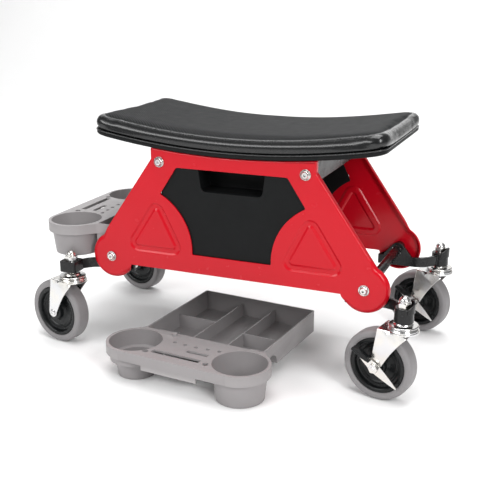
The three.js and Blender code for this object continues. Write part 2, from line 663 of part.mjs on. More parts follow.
function toolTray() {
  const { halfWidth, depth, height, floor, wall, band, deckBack } = TRAY;
  const deckUnder = height - 2.7;
  const back = block(-halfWidth, halfWidth, -deckBack - wall, 0, floor, height - 1);
  const skirt = block(-48, 40, -depth, -depth + wall, height - 22, height - 1);
  const cupPosts = [
    postZ(CUP.x, CUP.y, 0, height - 1, CUP.body, CUP.foot, 28),
    postZ(-CUP.x, CUP.y, STEPPED_CUP.step, height - 1, CUP.body, CUP.body - 1.5, 28),
    postZ(-CUP.x, CUP.y, 0, STEPPED_CUP.step + 1, STEPPED_CUP.body, STEPPED_CUP.foot, 28),
  ];
  const cupOutside = CUP.bore + wall;
  const guard = [-1, 1].map((end) => postZ(end * CUP.x, CUP.y, -2, height + 2, cupOutside, cupOutside, 28));
  const { radius, skin } = TRAY_NOTCH;
  let keep = joined(...guard, ...trayNotches(halfWidth, radius + skin, skin));

  let tray = joined(prism(trayOutline(), height - band, height), back, skirt, ...cupPosts);
  tray = tray.subtract(trayCells().subtract(keep));
  keep = joined(...guard);
  const under = block(-CUP.x, CUP.x, -depth + wall, -deckBack - wall, -1, deckUnder);
  tray = tray.subtract(toSolid(under).subtract(keep));
  tray = tray.subtract(cupBores());
  tray = tray.subtract(joined(...trayNotches(halfWidth + 1, radius, 0)));
  tray = tray.subtract(trayDeckCuts());
  return tray.add(toSolid(postZ(-43, -deckBack - 8, height - 1, height + 4, 3.6, 4.4, 12)));
}

const trayGeometry = toGeometry(toolTray());
const dockedTray = add('tray_docked', trayGeometry, GREY_PLASTIC);
dockedTray.rotation.z = -Math.PI / 2;
dockedTray.position.set(DOCKED_TRAY.x, 0, DOCKED_TRAY.rimZ - TRAY.height);

const looseTray = add('tray_loose', trayGeometry, GREY_PLASTIC);
looseTray.rotation.z = THREE.MathUtils.degToRad(LOOSE_TRAY.turn);
looseTray.position.set(LOOSE_TRAY.x, LOOSE_TRAY.y, LOOSE_TRAY.lift);

// The origin is the middle of the whole part's box, on the floor.
const extent = new THREE.Box3().setFromObject(seatAssembly, true);
const middle = extent.getCenter(new THREE.Vector3());
seatAssembly.position.set(-middle.x, -middle.y, -extent.min.z);

export default seatAssembly;
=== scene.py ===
"""The looks of a rolling mechanic's seat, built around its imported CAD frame.

Shapes are drawn in millimetres in the seat's own frame, whose origin is on the floor under the
middle of the cushion, or in a caster's or tray's frame, and a place matrix takes them to the row.
"""
import json
from contextlib import contextmanager
from math import asin, atan2, ceil, copysign, cos, degrees, exp, hypot, pi, radians, sin, sqrt, tan
from types import SimpleNamespace as Sizes

import bmesh
import bpy
import numpy as np
from mathutils import Matrix, Vector
from mathutils.geometry import delaunay_2d_cdt, tessellate_polygon


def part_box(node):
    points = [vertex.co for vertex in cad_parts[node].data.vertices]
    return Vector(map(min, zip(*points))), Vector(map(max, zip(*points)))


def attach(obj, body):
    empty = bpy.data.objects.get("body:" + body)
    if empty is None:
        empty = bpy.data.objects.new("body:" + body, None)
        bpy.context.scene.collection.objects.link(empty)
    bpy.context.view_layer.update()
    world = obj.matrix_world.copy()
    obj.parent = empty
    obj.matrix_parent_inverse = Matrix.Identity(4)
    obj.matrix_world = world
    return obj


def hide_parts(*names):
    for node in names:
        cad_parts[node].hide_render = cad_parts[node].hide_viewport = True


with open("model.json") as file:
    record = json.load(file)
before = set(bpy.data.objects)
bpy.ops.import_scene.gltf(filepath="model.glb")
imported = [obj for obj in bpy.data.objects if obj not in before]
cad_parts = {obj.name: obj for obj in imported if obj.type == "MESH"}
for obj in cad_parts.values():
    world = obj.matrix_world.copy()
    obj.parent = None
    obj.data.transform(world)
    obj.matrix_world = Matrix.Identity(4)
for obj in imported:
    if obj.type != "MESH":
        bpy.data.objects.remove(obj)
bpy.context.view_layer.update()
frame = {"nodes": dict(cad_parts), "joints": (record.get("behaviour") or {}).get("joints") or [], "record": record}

# ---- driving dimensions, in millimetres
MM = 0.001
SEAT = Sizes(length=440, width=228, corner=24, underside=310, sag=4.4e-4)
BOARD_THICKNESS = 6
CUSHION_TOP = 341
SEAT_PANEL = Sizes(half_x=207, half_y=101, corner=15)
WEAVE_SCALE = 130.0
SWELLING = 2.6
PLATE = Sizes(face=108, thickness=2.3, flange=9, top=309.6, bottom=135)
SHOULDER = (124.5, 299.5)
SLANT_END = (213.5, 173.5)
KNUCKLE = Sizes(x=196, z=145, radius=34.5)
ROLL = Sizes(edge=2.6, knuckle=7.5)
WINDOW = Sizes(top_x=84, top_z=290, bottom_z=163, arc=(152, 168), radius=91, start=117)
EMBOSS = Sizes(corners=[(118, 221), (93, 172), (150, 172)], depth=2.1, inner=(2.4, 6.4), outer=(10.6, 14.6))
HAND_HOLE = Sizes(half=52, bottom_half=46, z=258)
POCKET = Sizes(depth=42, wall=2, top=292)
TOP_BOLT = (110, 296.5)
BOLT = Sizes(washer=7.6, washer_thickness=1.5, radius=5.8, height=3.4, socket=2.7)
BRACE = Sizes(x0=96.5, x1=121.5, bottom=284, top=313.4)
ARM = Sizes(y=93, thickness=6, bottom=119, top=134, inner_x=166, bend_x=221)
EYE = Sizes(bottom=117, top=137, radius=12.5)
STEM = Sizes(x=256, y=127.5, radius=6, top=147)
RACE = Sizes(radius=20.5, bottom=110.5, top=116.5)
ACORN = Sizes(radius=9.6, hex=7, dome=8.5)
FORK = Sizes(crown_bottom=103.5, crown_top=106.5, crown=21.5, inner=15.5, outer=18, tip=7.5)
WHEEL = Sizes(radius=50, width=25, core=39.3, trail=30, axle=4.3)
BRAKE = Sizes(angle=35, half=40, half_width=6.5, thickness=2.2)
TRAY = Sizes(half=98, depth=266, height=50, floor=16, wall=2.2, band=15, deck_back=177)
CUP = Sizes(x=85, y=-223, rim=43, bore=38.6, body=39.4, foot=34)
STEPPED_CUP = Sizes(step=24, body=30, foot=27.5)
NOTCH = Sizes(y=-152, radius=18, skin=2.2, reach=34)
CORNERS = ("front_left", "front_right", "rear_left", "rear_right")
BRAKED = ("front_right", "rear_right")

# ---- places in the row
cushion_low, cushion_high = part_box("seat_cushion")
SEAT_MIDDLE = (cushion_low + cushion_high) / 2
SEAT_PLACE = Matrix.Translation((SEAT_MIDDLE.x, SEAT_MIDDLE.y, 0)) @ Matrix.Scale(MM, 4)
JOINTS = {joint["name"]: joint for joint in frame["joints"]}


def caster_place(corner):
    """The caster's frame: the stem on Z from the floor up, the wheel trailing towards +X."""
    low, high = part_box(f"caster_stem_{corner}")
    stem = (low + high) / 2
    axle = Vector(JOINTS[f"wheel_spin_{corner}"]["pos_m"])
    turn = atan2(axle.y - stem.y, axle.x - stem.x)
    return Matrix.Translation((stem.x, stem.y, 0)) @ Matrix.Rotation(turn, 4, "Z") @ Matrix.Scale(MM, 4)


def wheel_place(corner):
    return caster_place(corner) @ Matrix.Translation((WHEEL.trail, 0, WHEEL.radius))


def docked_tray_place():
    low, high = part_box("tray_docked")
    return (Matrix.Translation((high.x, (low.y + high.y) / 2, low.z))
            @ Matrix.Rotation(-pi / 2, 4, "Z") @ Matrix.Scale(MM, 4))


def loose_tray_place():
    """The tray's back edge in the row, from its slide's direction and the mount on its middle cell."""
    axis = JOINTS["loose_tray_slide"]["axis"]
    turned = Matrix.Rotation(atan2(axis[0], -axis[1]), 4, "Z") @ Matrix.Scale(MM, 4)
    mount = next(m for m in frame["record"]["mounts"] if m["name"] == "loose_tray_cell_floor")
    on_tray = Vector((0, -60, TRAY.floor + TRAY.wall))
    return Matrix.Translation(Vector(mount["pos_m"]) - turned @ on_tray) @ turned


# ---- outlines
def arc(centre, radius, start, end, steps):
    """Points along an arc, from start to end in degrees."""
    angles = [radians(start + (end - start) * i / steps) for i in range(steps + 1)]
    return [(centre[0] + radius * cos(a), centre[1] + radius * sin(a)) for a in angles]


def quadratic(start, control, end, t):
    """The point at t, from 0 to 1, on the curve that start, control and end span."""
    return start * (1 - t) ** 2 + control * (2 * t * (1 - t)) + end * t * t


def rectangle(x0, x1, y0, y1):
    return [(x0, y0), (x1, y0), (x1, y1), (x0, y1)]


def rounded(points, radius, steps=4, closed=True):
    """The polyline with its corners rounded. radius is one number, or one for each corner."""
    result = []
    last = len(points) - 1
    for i, here in enumerate(points):
        size = radius[i] if isinstance(radius, (list, tuple)) else radius
        corner = Vector(here)
        back = Vector(points[i - 1]) - corner
        ahead = Vector(points[(i + 1) % len(points)]) - corner
        at_end = not closed and i in (0, last)
        if at_end or size <= 0 or back.length < 1e-6 or ahead.length < 1e-6:
            result.append(tuple(corner))
            continue
        angle = back.angle(ahead)
        if angle > pi - 0.03:
            result.append(tuple(corner))
            continue
        cut = min(size / tan(angle / 2), back.length * 0.49, ahead.length * 0.49)
        start = corner + back.normalized() * cut
        end = corner + ahead.normalized() * cut
        for k in range(steps + 1):
            t = k / steps
            result.append(tuple(quadratic(start, corner, end, t)))
    return result


def mirrored(points):
    return [(-x, z) for x, z in reversed(points)]


def resampled(points, step):
    """The closed outline with extra points, so that no stretch is longer than step."""
    result = []
    for i, (x, y) in enumerate(points):
        nx, ny = points[(i + 1) % len(points)]
        parts = max(1, ceil(hypot(nx - x, ny - y) / step))
        result += [(x + (nx - x) * k / parts, y + (ny - y) * k / parts) for k in range(parts)]
    return result


def rounded_rectangle(half_x, half_y, radius, steps=8):
    corners = [(half_x, -half_y), (half_x, half_y), (-half_x, half_y), (-half_x, -half_y)]
    return rounded(corners, radius, steps)


def around(corners, distance, steps=8):
    """The outline at a distance outside a triangle given counter-clockwise."""
    points = []
    for i, (x, y) in enumerate(corners):
        bx, by = corners[i - 1]
        nx, ny = corners[(i + 1) % len(corners)]
        start = degrees(atan2(y - by, x - bx)) - 90
        end = degrees(atan2(ny - y, nx - x)) - 90
        points += arc((x, y), distance, start, start + (end - start) % 360, steps)
    return points


def inside(points, outline):
    """Which of the points lie inside a closed outline, as a numpy array."""
    x, y = np.asarray(points, float).reshape(-1, 2).T
    odd = np.zeros(len(x), bool)
    for (ax, ay), (bx, by) in zip(outline, outline[1:] + outline[:1]):
        crosses = (ay > y) != (by > y)
        if ay != by:
            odd ^= crosses & (x < (bx - ax) * (y - ay) / (by - ay) + ax)
    return odd


# ---- meshes
def mesh_object(name, vertices, faces):
    mesh = bpy.data.meshes.new(name)
    mesh.from_pydata([tuple(v) for v in vertices], [], faces)
    obj = bpy.data.objects.new(name, mesh)
    bpy.context.scene.collection.objects.link(obj)
    face_out(obj)
    return obj


@contextmanager
def editing(obj):
    """The object's mesh as a bmesh, written back at the end."""
    bm = bmesh.new()
    bm.from_mesh(obj.data)
    yield bm
    bm.to_mesh(obj.data)
    bm.free()


def face_out(obj, merge=1e-4):
    """Merges points that nearly meet and turns every face to the outside."""
    with editing(obj) as bm:
        bmesh.ops.remove_doubles(bm, verts=bm.verts, dist=merge)
        bmesh.ops.recalc_face_normals(bm, faces=bm.faces)


def merge_coplanar(bm, degrees):
    bmesh.ops.dissolve_limit(bm, angle_limit=radians(degrees), verts=bm.verts, edges=bm.edges)


def numbered(rows, count):
    """The vertex numbers of rows of count points each."""
    return [range(k * count, (k + 1) * count) for k in range(rows)]


def joined(rows):
    """Quads between each closed row of vertex numbers and the next."""
    faces = []
    for lower, upper in zip(rows, rows[1:]):
        for i in range(len(lower)):
            j = (i + 1) % len(lower)
            faces.append((lower[i], lower[j], upper[j], upper[i]))
    return faces


def bake(obj):
    """Applies the object's modifiers."""
    graph = bpy.context.evaluated_depsgraph_get()
    mesh = bpy.data.meshes.new_from_object(obj.evaluated_get(graph))
    obj.modifiers.clear()
    obj.data = mesh
    return obj


def modified(obj, kind, **settings):
    """Applies one modifier."""
    modifier = obj.modifiers.new(kind.lower(), kind)
    for key, value in settings.items():
        setattr(modifier, key, value)
    return bake(obj)


def smooth(obj, sharp_angle=40):
    obj.data.shade_smooth()
    obj.data.set_sharp_from_angle(angle=radians(sharp_angle))
    return obj


def shade(obj, angle=34):
    """Smooth shading in which flat faces stay flat: each corner's normal is the area-weighted mean
    of the faces at its point that lie within the angle of its own face."""
    mesh = obj.data
    mesh.shade_smooth()
    corners = len(mesh.loops)
    vertex = np.empty(corners, int)
    mesh.loops.foreach_get("vertex_index", vertex)
    face_of = np.repeat(np.arange(len(mesh.polygons)), [len(f.vertices) for f in mesh.polygons])
    normals = np.array([f.normal for f in mesh.polygons])
    areas = np.array([f.area for f in mesh.polygons])
    order = np.argsort(vertex, kind="stable")
    uses = np.bincount(vertex, minlength=len(mesh.vertices))
    first = np.concatenate([[0], np.cumsum(uses)[:-1]])
    repeats = uses[vertex]
    own = np.repeat(np.arange(corners), repeats)
    offset = np.arange(len(own)) - np.repeat(np.cumsum(repeats) - repeats, repeats)
    other = order[first[vertex[own]] + offset]
    mine, theirs = normals[face_of[own]], normals[face_of[other]]
    near = (mine * theirs).sum(1) > cos(radians(angle))
    weight = areas[face_of[other]] * near
    total = np.stack([np.bincount(own, theirs[:, k] * weight, corners) for k in range(3)], 1)
    length = np.linalg.norm(total, axis=1)
    total[length < 1e-12] = normals[face_of][length < 1e-12]
    total /= np.maximum(np.linalg.norm(total, axis=1), 1e-12)[:, None]
    mesh.normals_split_custom_set([tuple(n) for n in total])
    return obj


def tidy(obj, merge=0.03):
    """Merges the slivers that cutting leaves and makes coplanar faces one."""
    with editing(obj) as bm:
        bmesh.ops.remove_doubles(bm, verts=bm.verts, dist=merge)
        bmesh.ops.dissolve_degenerate(bm, edges=bm.edges, dist=merge)
        merge_coplanar(bm, 0.4)


def soften_level(obj, width, levels, angle=40):
    """Rounds only the sharp edges that lie level at the given heights."""
    tidy(obj, 0.05)
    with editing(obj) as bm:
        weights = bm.edges.layers.float.new("bevel_weight_edge")
        for edge in bm.edges:
            level = any(all(abs(v.co.z - z) < 0.05 for v in edge.verts) for z in levels)
            if level and edge.is_manifold and edge.calc_face_angle() > radians(angle):
                edge[weights] = 1.0
    return shade(modified(obj, "BEVEL", width=width, segments=2, limit_method="WEIGHT"))


def soften(obj, width, segments=2, angle=40, flat=34):
    """Rounds the sharp edges and keeps the flat faces flat."""
    tidy(obj)
    modified(obj, "BEVEL", width=width, segments=segments, limit_method="ANGLE",
             angle_limit=radians(angle), use_clamp_overlap=False)
    return shade(obj, flat)


def lathe(name, profile, segments=64):
    """A (radius, height) profile turned about Z. It starts and ends on the axis, or closes on
    itself."""
    vertices = []
    rings = []
    for radius, height in profile:
        count = segments if radius > 1e-6 else 1
        rings.append([len(vertices) + i for i in range(count)])
        for i in range(count):
            angle = 2 * pi * i / segments
            vertices.append((radius * cos(angle), radius * sin(angle), height))
    pairs = list(zip(rings, rings[1:]))
    if profile[0][0] > 1e-6:
        pairs.append((rings[-1], rings[0]))
    faces = []
    for lower, upper in pairs:
        for i in range(segments):
            j = (i + 1) % segments
            around_quad = ((lower, i), (lower, j), (upper, j), (upper, i))
            corners = list(dict.fromkeys(ring[k % len(ring)] for ring, k in around_quad))
            if len(corners) > 2:
                faces.append(corners)
    return mesh_object(name, vertices, faces)


def slab(name, outline, low, high, upright=False):
    """An outline made solid from low to high: along Z, or along Y if it is upright."""
    flat = [Vector((x, y, 0)) for x, y in outline]
    triangles = tessellate_polygon([flat])
    count = len(flat)
    vertices = [(p.x, p.y, h) for h in (low, high) for p in flat]
    faces = [tuple(t) for t in triangles] + [tuple(i + count for i in t) for t in triangles]
    faces += joined(numbered(2, count))
    if upright:
        vertices = [(x, h, z) for x, z, h in vertices]
    obj = mesh_object(name, vertices, faces)
    with editing(obj) as bm:
        merge_coplanar(bm, 0.3)
    return obj


def block(name, x0, x1, y0, y1, z0, z1):
    return slab(name, rectangle(x0, x1, y0, y1), z0, z1)


def post(name, x, y, z0, z1, top, bottom=None, sides=64):
    """A round post along Z that may taper."""
    obj = lathe(name, [(0, z0), (top if bottom is None else bottom, z0), (top, z1), (0, z1)], sides)
    obj.data.transform(Matrix.Translation((x, y, 0)))
    return obj


def hexagon(radius):
    return arc((0, 0), radius, 0, 300, 5)


def combine(obj, operation, others):
    for other in others:
        modified(obj, "BOOLEAN", operation=operation, solver="EXACT", object=other)
        bpy.data.objects.remove(other)
    return obj


def fuse(obj, *others):
    return combine(obj, "UNION", others)


def cut(obj, *others):
    return combine(obj, "DIFFERENCE", others)


def gather(obj, *others):
    """Puts separate shells into one object."""
    with editing(obj) as bm:
        for other in others:
            bm.from_mesh(other.data)
            bpy.data.objects.remove(other)
    return obj


def twin(obj):
    copy = obj.copy()
    copy.data = obj.data.copy()
    bpy.context.scene.collection.objects.link(copy)
    return copy


def discard(*objs):
    for obj in objs:
        bpy.data.objects.remove(obj)


def spin(degrees, axis="Z"):
    return Matrix.Rotation(radians(degrees), 4, axis)


def turned_about(axis, degrees, obj):
    obj.data.transform(spin(degrees, axis))
    return obj


def piece(obj, name, place, body, slot, *nodes, material=None):
    """Puts a finished mesh in its place on its body, where it stands for the CAD nodes."""
    obj.name = name
    obj.data.name = name
    obj.data.transform(place)
    obj.data.materials.clear()
    obj.data.materials.append(material or MATERIALS[slot])
    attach(obj, body)
    if nodes:
        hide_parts(*nodes)


# ---- materials
class Nodes:
    """Builds one material's nodes. Keyword inputs are socket names with _ for a space."""

    def __init__(self, name):
        self.material = bpy.data.materials.new(name)
        self.material.use_nodes = True
        self.tree = self.material.node_tree
        self.shader = self.tree.nodes["Principled BSDF"]
        self.place = self.tree.nodes.new("ShaderNodeTexCoord").outputs["Object"]

    def put(self, socket, value):
        """Links an output to the socket, or gives it a number, vector or colour."""
        if isinstance(value, bpy.types.NodeSocket):
            self.tree.links.new(value, socket)
        else:
            socket.default_value = (*value, 1) if socket.type == "RGBA" else value

    def fill(self, node, inputs):
        for key, value in inputs.items():
            self.put(node.inputs[key.replace("_", " ")], value)
        return node

    def add(self, kind, **inputs):
        return self.fill(self.tree.nodes.new(kind), inputs)

    def stretched(self, x, y, z):
        """The object's coordinates times a scale on each axis."""
        scaled = self.tree.nodes.new("ShaderNodeVectorMath")
        scaled.operation = "MULTIPLY"
        self.put(scaled.inputs[0], self.place)
        self.put(scaled.inputs[1], (x, y, z))
        return scaled.outputs[0]

    def noise(self, scale, detail=4.0, roughness=0.55, vector=None):
        return self.add("ShaderNodeTexNoise", Vector=vector or self.place, Scale=scale, Detail=detail,
                        Roughness=roughness).outputs["Fac"]

    def voronoi(self, scale):
        return self.add("ShaderNodeTexVoronoi", Vector=self.place, Scale=scale).outputs["Distance"]

    def math(self, operation, *values):
        node = self.tree.nodes.new("ShaderNodeMath")
        node.operation = operation
        for socket, value in zip(node.inputs, values):
            self.put(socket, value)
        return node.outputs[0]

    def ramp(self, value, low, high, start, end):
        """value from low to high, mapped to start to end and clamped."""
        return self.add("ShaderNodeMapRange", Value=value, From_Min=low, From_Max=high, To_Min=start,
                        To_Max=end).outputs["Result"]

    def cloudy(self, scale, start, end):
        """Soft patches that go from start to end."""
        return self.ramp(self.noise(scale), 0.3, 0.7, start, end)

    def colours(self, value, first, second):
        node = self.tree.nodes.new("ShaderNodeMix")
        node.data_type = "RGBA"
        for number, given in ((0, value), (6, first), (7, second)):
            self.put(node.inputs[number], given)
        return node.outputs[2]

    def bump(self, height, strength, distance, **under):
        return self.add("ShaderNodeBump", Height=height, Strength=strength, Distance=distance,
                        **under).outputs["Normal"]

    def edges(self, low, high):
        """1 on sharp outer edges, 0 elsewhere."""
        return self.ramp(self.add("ShaderNodeNewGeometry").outputs["Pointiness"], low, high, 0, 1)

    def set(self, **inputs):
        self.fill(self.shader, inputs)
        return self.material


def red_enamel():
    """Glossy red paint with a faint orange peel and uneven gloss."""
    n = Nodes("red_enamel")
    patchy = n.colours(n.noise(14, 3), (0.47, 0.002, 0.009), (0.525, 0.003, 0.013))
    peel = n.bump(n.noise(420, 2), 0.04, 0.0002)
    return n.set(Base_Color=patchy, Roughness=n.cloudy(60, 0.2, 0.28), Normal=peel,
                 Specular_IOR_Level=0.26, Coat_Weight=0.05, Coat_Roughness=0.08)


def black_enamel():
    """Black powder coat with a fine texture and small bare scuffs on the edges."""
    n = Nodes("black_enamel")
    worn = n.math("MULTIPLY", n.edges(0.62, 0.74), n.ramp(n.noise(260, 5), 0.5, 0.62, 0, 0.25))
    colour = n.colours(worn, n.colours(n.noise(45), (0.006, 0.006, 0.0065), (0.011, 0.011, 0.0115)),
                       (0.12, 0.115, 0.11))
    grain = n.bump(n.noise(900, 3), 0.06, 0.0002)
    return n.set(Base_Color=colour, Roughness=n.cloudy(90, 0.2, 0.3), Normal=grain,
                 Specular_IOR_Level=0.26, Coat_Weight=0.08, Coat_Roughness=0.1)


def black_panel():
    """Moulded black plastic with a fine spark texture."""
    n = Nodes("black_panel")
    colour = n.colours(n.noise(25), (0.0045, 0.005, 0.0052), (0.008, 0.0086, 0.009))
    grain = n.bump(n.voronoi(1500), 0.15, 0.00015)
    return n.set(Base_Color=colour, Roughness=n.cloudy(130, 0.46, 0.58), Normal=grain,
                 Specular_IOR_Level=0.14)


def black_plastic():
    """The wheel cores' harder, glossier plastic, with faint turning lines."""
    n = Nodes("black_plastic")
    colour = n.colours(n.noise(40), (0.0045, 0.0052, 0.0056), (0.009, 0.0098, 0.0104))
    grain = n.bump(n.noise(500, 3), 0.02, 0.0001)
    return n.set(Base_Color=colour, Roughness=n.cloudy(110, 0.24, 0.34), Normal=grain,
                 Specular_IOR_Level=0.25)


def zinc():
    """Bright zinc plate: soft cloudy gloss, fine rolling lines and a trace of warm and blue tint."""
    n = Nodes("zinc")
    tint = n.colours(n.ramp(n.noise(55, 3), 0.4, 0.62, 0, 1), (0.66, 0.66, 0.665), (0.7, 0.68, 0.64))
    colour = n.colours(n.ramp(n.noise(150, 5), 0.55, 0.8, 0, 0.3), tint, (0.6, 0.62, 0.65))
    lines = n.noise(1.0, 3, 0.6, n.stretched(160, 160, 1800))
    clouds = n.cloudy(120, 0.18, 0.27)
    return n.set(Base_Color=colour, Metallic=1.0, Roughness=clouds, Normal=n.bump(lines, 0.03, 0.0001))


def grey_rubber():
    """Soft grey tyre rubber, slightly mottled, with dust in the fine grain."""
    n = Nodes("grey_rubber")
    base = n.colours(n.noise(35, 5), (0.2, 0.192, 0.196), (0.25, 0.24, 0.243))
    colour = n.colours(n.ramp(n.noise(420, 4), 0.5, 0.75, 0, 0.3), base, (0.165, 0.158, 0.16))
    grain = n.bump(n.noise(700, 4), 0.15, 0.0002)
    return n.set(Base_Color=colour, Roughness=n.cloudy(80, 0.45, 0.56), Normal=grain,
                 Specular_IOR_Level=0.35)


def grey_plastic():
    """Grey moulded trays: warm grey, a fine matt grain and smoother edges, with a painted highlight: the sharp
    edges are painted a lighter grey.
    """
    n = Nodes("grey_plastic")
    base = n.colours(n.noise(18, 4), (0.245, 0.232, 0.235), (0.28, 0.266, 0.269))
    # painted highlight: the sharp edges of the rims, walls and dividers are painted a lighter grey
    colour = n.colours(n.edges(0.53, 0.63), base, (0.34, 0.325, 0.325))
    grain = n.bump(n.voronoi(1300), 0.1, 0.00015)
    return n.set(Base_Color=colour, Roughness=n.cloudy(140, 0.36, 0.46), Normal=grain,
                 Specular_IOR_Level=0.4)


def panel_mask(n, softness):
    """1 on the cushion's woven top, inside a rounded rectangle, and 0 on the band round it."""
    split = n.add("ShaderNodeSeparateXYZ", Vector=n.place)
    corner = SEAT_PANEL.corner * MM
    squares = []
    for axis, half in (("x", SEAT_PANEL.half_x), ("y", SEAT_PANEL.half_y)):
        centre = getattr(SEAT_MIDDLE, axis)
        offset = n.math("ABSOLUTE", n.math("SUBTRACT", split.outputs[axis.upper()], centre))
        away = n.math("MAXIMUM", n.math("SUBTRACT", offset, half * MM - corner), 0.0)
        squares.append(n.math("MULTIPLY", away, away))
    distance = n.math("SQRT", n.math("ADD", *squares))
    upward = n.add("ShaderNodeSeparateXYZ", Vector=n.add("ShaderNodeNewGeometry").outputs["Normal"])
    flat = n.ramp(distance, corner - softness, corner + softness, 1, 0)
    return n.math("MULTIPLY", flat, n.ramp(upward.outputs["Z"], 0.2, 0.4, 0, 1))


def seat_vinyl():
    """Woven black fabric on top and smooth glossy vinyl on the rolled band round it."""
    n = Nodes("seat_vinyl")
    top = panel_mask(n, 0.0007)
    threads = []
    for across in (1, -1):
        wave = n.add("ShaderNodeTexWave", Vector=n.stretched(1, across, 0), Scale=WEAVE_SCALE,
                     Distortion=0.4, Detail=1.0, Detail_Scale=40)
        wave.bands_direction = "DIAGONAL"
        threads.append(wave.outputs["Fac"])
    weave = n.math("MULTIPLY", *threads)
    fibre = n.noise(1600, 3)
    cloth_colour = n.colours(n.ramp(weave, 0.12, 0.5, 0, 1), (0.001, 0.0011, 0.0012), (0.026, 0.027, 0.029))
    vinyl_colour = n.colours(n.noise(30), (0.0045, 0.0048, 0.0052), (0.0075, 0.0078, 0.0083))
    colour = n.colours(top, vinyl_colour, cloth_colour)
    rough = n.math("ADD", n.math("MULTIPLY", top, 0.36), n.cloudy(70, 0.24, 0.3))
    height = n.math("MULTIPLY", n.math("ADD", weave, n.math("MULTIPLY", fibre, 0.3)), top)
    woven = n.bump(height, 0.35, 0.0005)
    grain = n.bump(n.voronoi(900), 0.03, 0.0001, Normal=woven)
    return n.set(Base_Color=colour, Roughness=rough, Normal=grain, Specular_IOR_Level=0.15,
                 Coat_Weight=n.ramp(top, 0, 1, 0.8, 0), Coat_Roughness=0.22)


def seam_vinyl():
    """The glossy piping at the cushion's foot."""
    n = Nodes("seam_vinyl")
    colour = n.colours(n.noise(60), (0.011, 0.0115, 0.012), (0.02, 0.0205, 0.021))
    return n.set(Base_Color=colour, Roughness=n.cloudy(160, 0.16, 0.26),
                 Normal=n.bump(n.noise(800), 0.1, 0.0002))


FINISHES = (red_enamel, black_enamel, black_panel, black_plastic, zinc, grey_rubber, grey_plastic,
            seat_vinyl)
MATERIALS = {finish.__name__: finish() for finish in FINISHES}
PIPING = seam_vinyl()


# ---- side plates
def sagged(height, x):
    return height + SEAT.sag * x * x


def slant_meets_knuckle():
    along = (Vector(SLANT_END) - Vector(SHOULDER)).normalized()
    away = Vector(SHOULDER) - Vector((KNUCKLE.x, KNUCKLE.z))
    toward = away.dot(along)
    reach = -toward - sqrt(toward ** 2 - away.length_squared + KNUCKLE.radius ** 2)
    return Vector(SHOULDER) + along * reach


def plate_outline():
    """The stamped plate seen from outside: curved top, slanted ends, round knuckles."""
    top = [(x, sagged(PLATE.top, x)) for x in np.linspace(0, SHOULDER[0] - 6, 24)]
    corner = (SHOULDER[0], sagged(PLATE.top, SHOULDER[0]))
    join = slant_meets_knuckle()
    shoulder = rounded([top[-1], corner, SHOULDER, tuple(join)], [0, 3.5, 4, 0], 5, closed=False)
    centre = (KNUCKLE.x, KNUCKLE.z)
    start = degrees(atan2(join.y - centre[1], join.x - centre[0]))
    end = degrees(asin((centre[1] - PLATE.bottom) / KNUCKLE.radius)) - 180
    knuckle = arc(centre, KNUCKLE.radius, start, end, 56)
    right = top[:-1] + shoulder + knuckle[1:]
    return resampled(right + mirrored(right)[:-1], 4)


def window_outline(grow=0.0):
    radius = WINDOW.radius - grow
    bottom = WINDOW.bottom_z - grow
    end = 180 + degrees(asin((WINDOW.arc[1] - bottom) / radius))
    right = [(WINDOW.top_x + grow * 0.6, WINDOW.top_z + grow)]
    right += arc(WINDOW.arc, radius, WINDOW.start, end, 20)
    count = len(right)
    loop = right + mirrored(right)
    radii = [5 if i in (0, 1, count - 1) else 0 for i in range(count)]
    return rounded(loop, radii + radii[::-1], 5)


def smoothstep(value, low, high):
    t = np.clip((value - low) / (high - low), 0, 1)
    return t * t * (3 - 2 * t)


def inward_normals(outline):
    points = np.array(outline)
    along = np.roll(points, -1, 0) - np.roll(points, 1, 0)
    along /= np.linalg.norm(along, axis=1)[:, None]
    turn = 1 if inside(points[:1] + np.array([[along[0][1], -along[0][0]]]) * 0.5, outline)[0] else -1
    return np.stack([along[:, 1], -along[:, 0]], 1) * turn


def distance_to_triangle(points, corners):
    """How far each point is outside a triangle, 0 inside it."""
    points = np.asarray(points, float)
    best = np.full(len(points), 1e9)
    for i, a in enumerate(corners):
        a = np.array(a, float)
        b = np.array(corners[(i + 1) % 3], float)
        t = np.clip(((points - a) @ (b - a)) / ((b - a) @ (b - a)), 0, 1)
        best = np.minimum(best, np.linalg.norm(points - (a + t[:, None] * (b - a)), axis=1))
    return np.where(inside(points, list(corners)), 0, best)


def emboss_depth(points):
    """How deep the pressed ring is at each point of the plate's face."""
    depth = np.zeros(len(points))
    for corners in emboss_triangles():
        away = distance_to_triangle(points, corners)
        depth += EMBOSS.depth * (smoothstep(away, *EMBOSS.inner) - smoothstep(away, *EMBOSS.outer))
    return depth


def emboss_triangles():
    return [EMBOSS.corners, mirrored(EMBOSS.corners)]


def emboss_contours():
    """Outlines a millimetre apart over the slopes of both pressed rings."""
    steps = [start + k for start in (EMBOSS.inner[0], EMBOSS.outer[0]) for k in range(5)]
    return [resampled(around(t, d, 6), 5) for t in emboss_triangles() for d in steps]


def triangulated(loops, outer, holes):
    """Vertices and triangles that follow every loop, inside outer and outside the holes."""
    points = []
    edges = []
    for loop in loops:
        start = len(points)
        points += [Vector(p) for p in loop]
        edges += [(start + i, start + (i + 1) % len(loop)) for i in range(len(loop))]
    flat, _, faces, _, _, _ = delaunay_2d_cdt(points, edges, [], 0, 1e-4)
    flat = np.array([tuple(p) for p in flat])
    middles = np.array([flat[list(face)].mean(0) for face in faces])
    keep = inside(middles, outer)
    for hole in holes:
        keep &= ~inside(middles, hole)
    return flat, [tuple(face) for face, kept in zip(faces, keep) if kept]


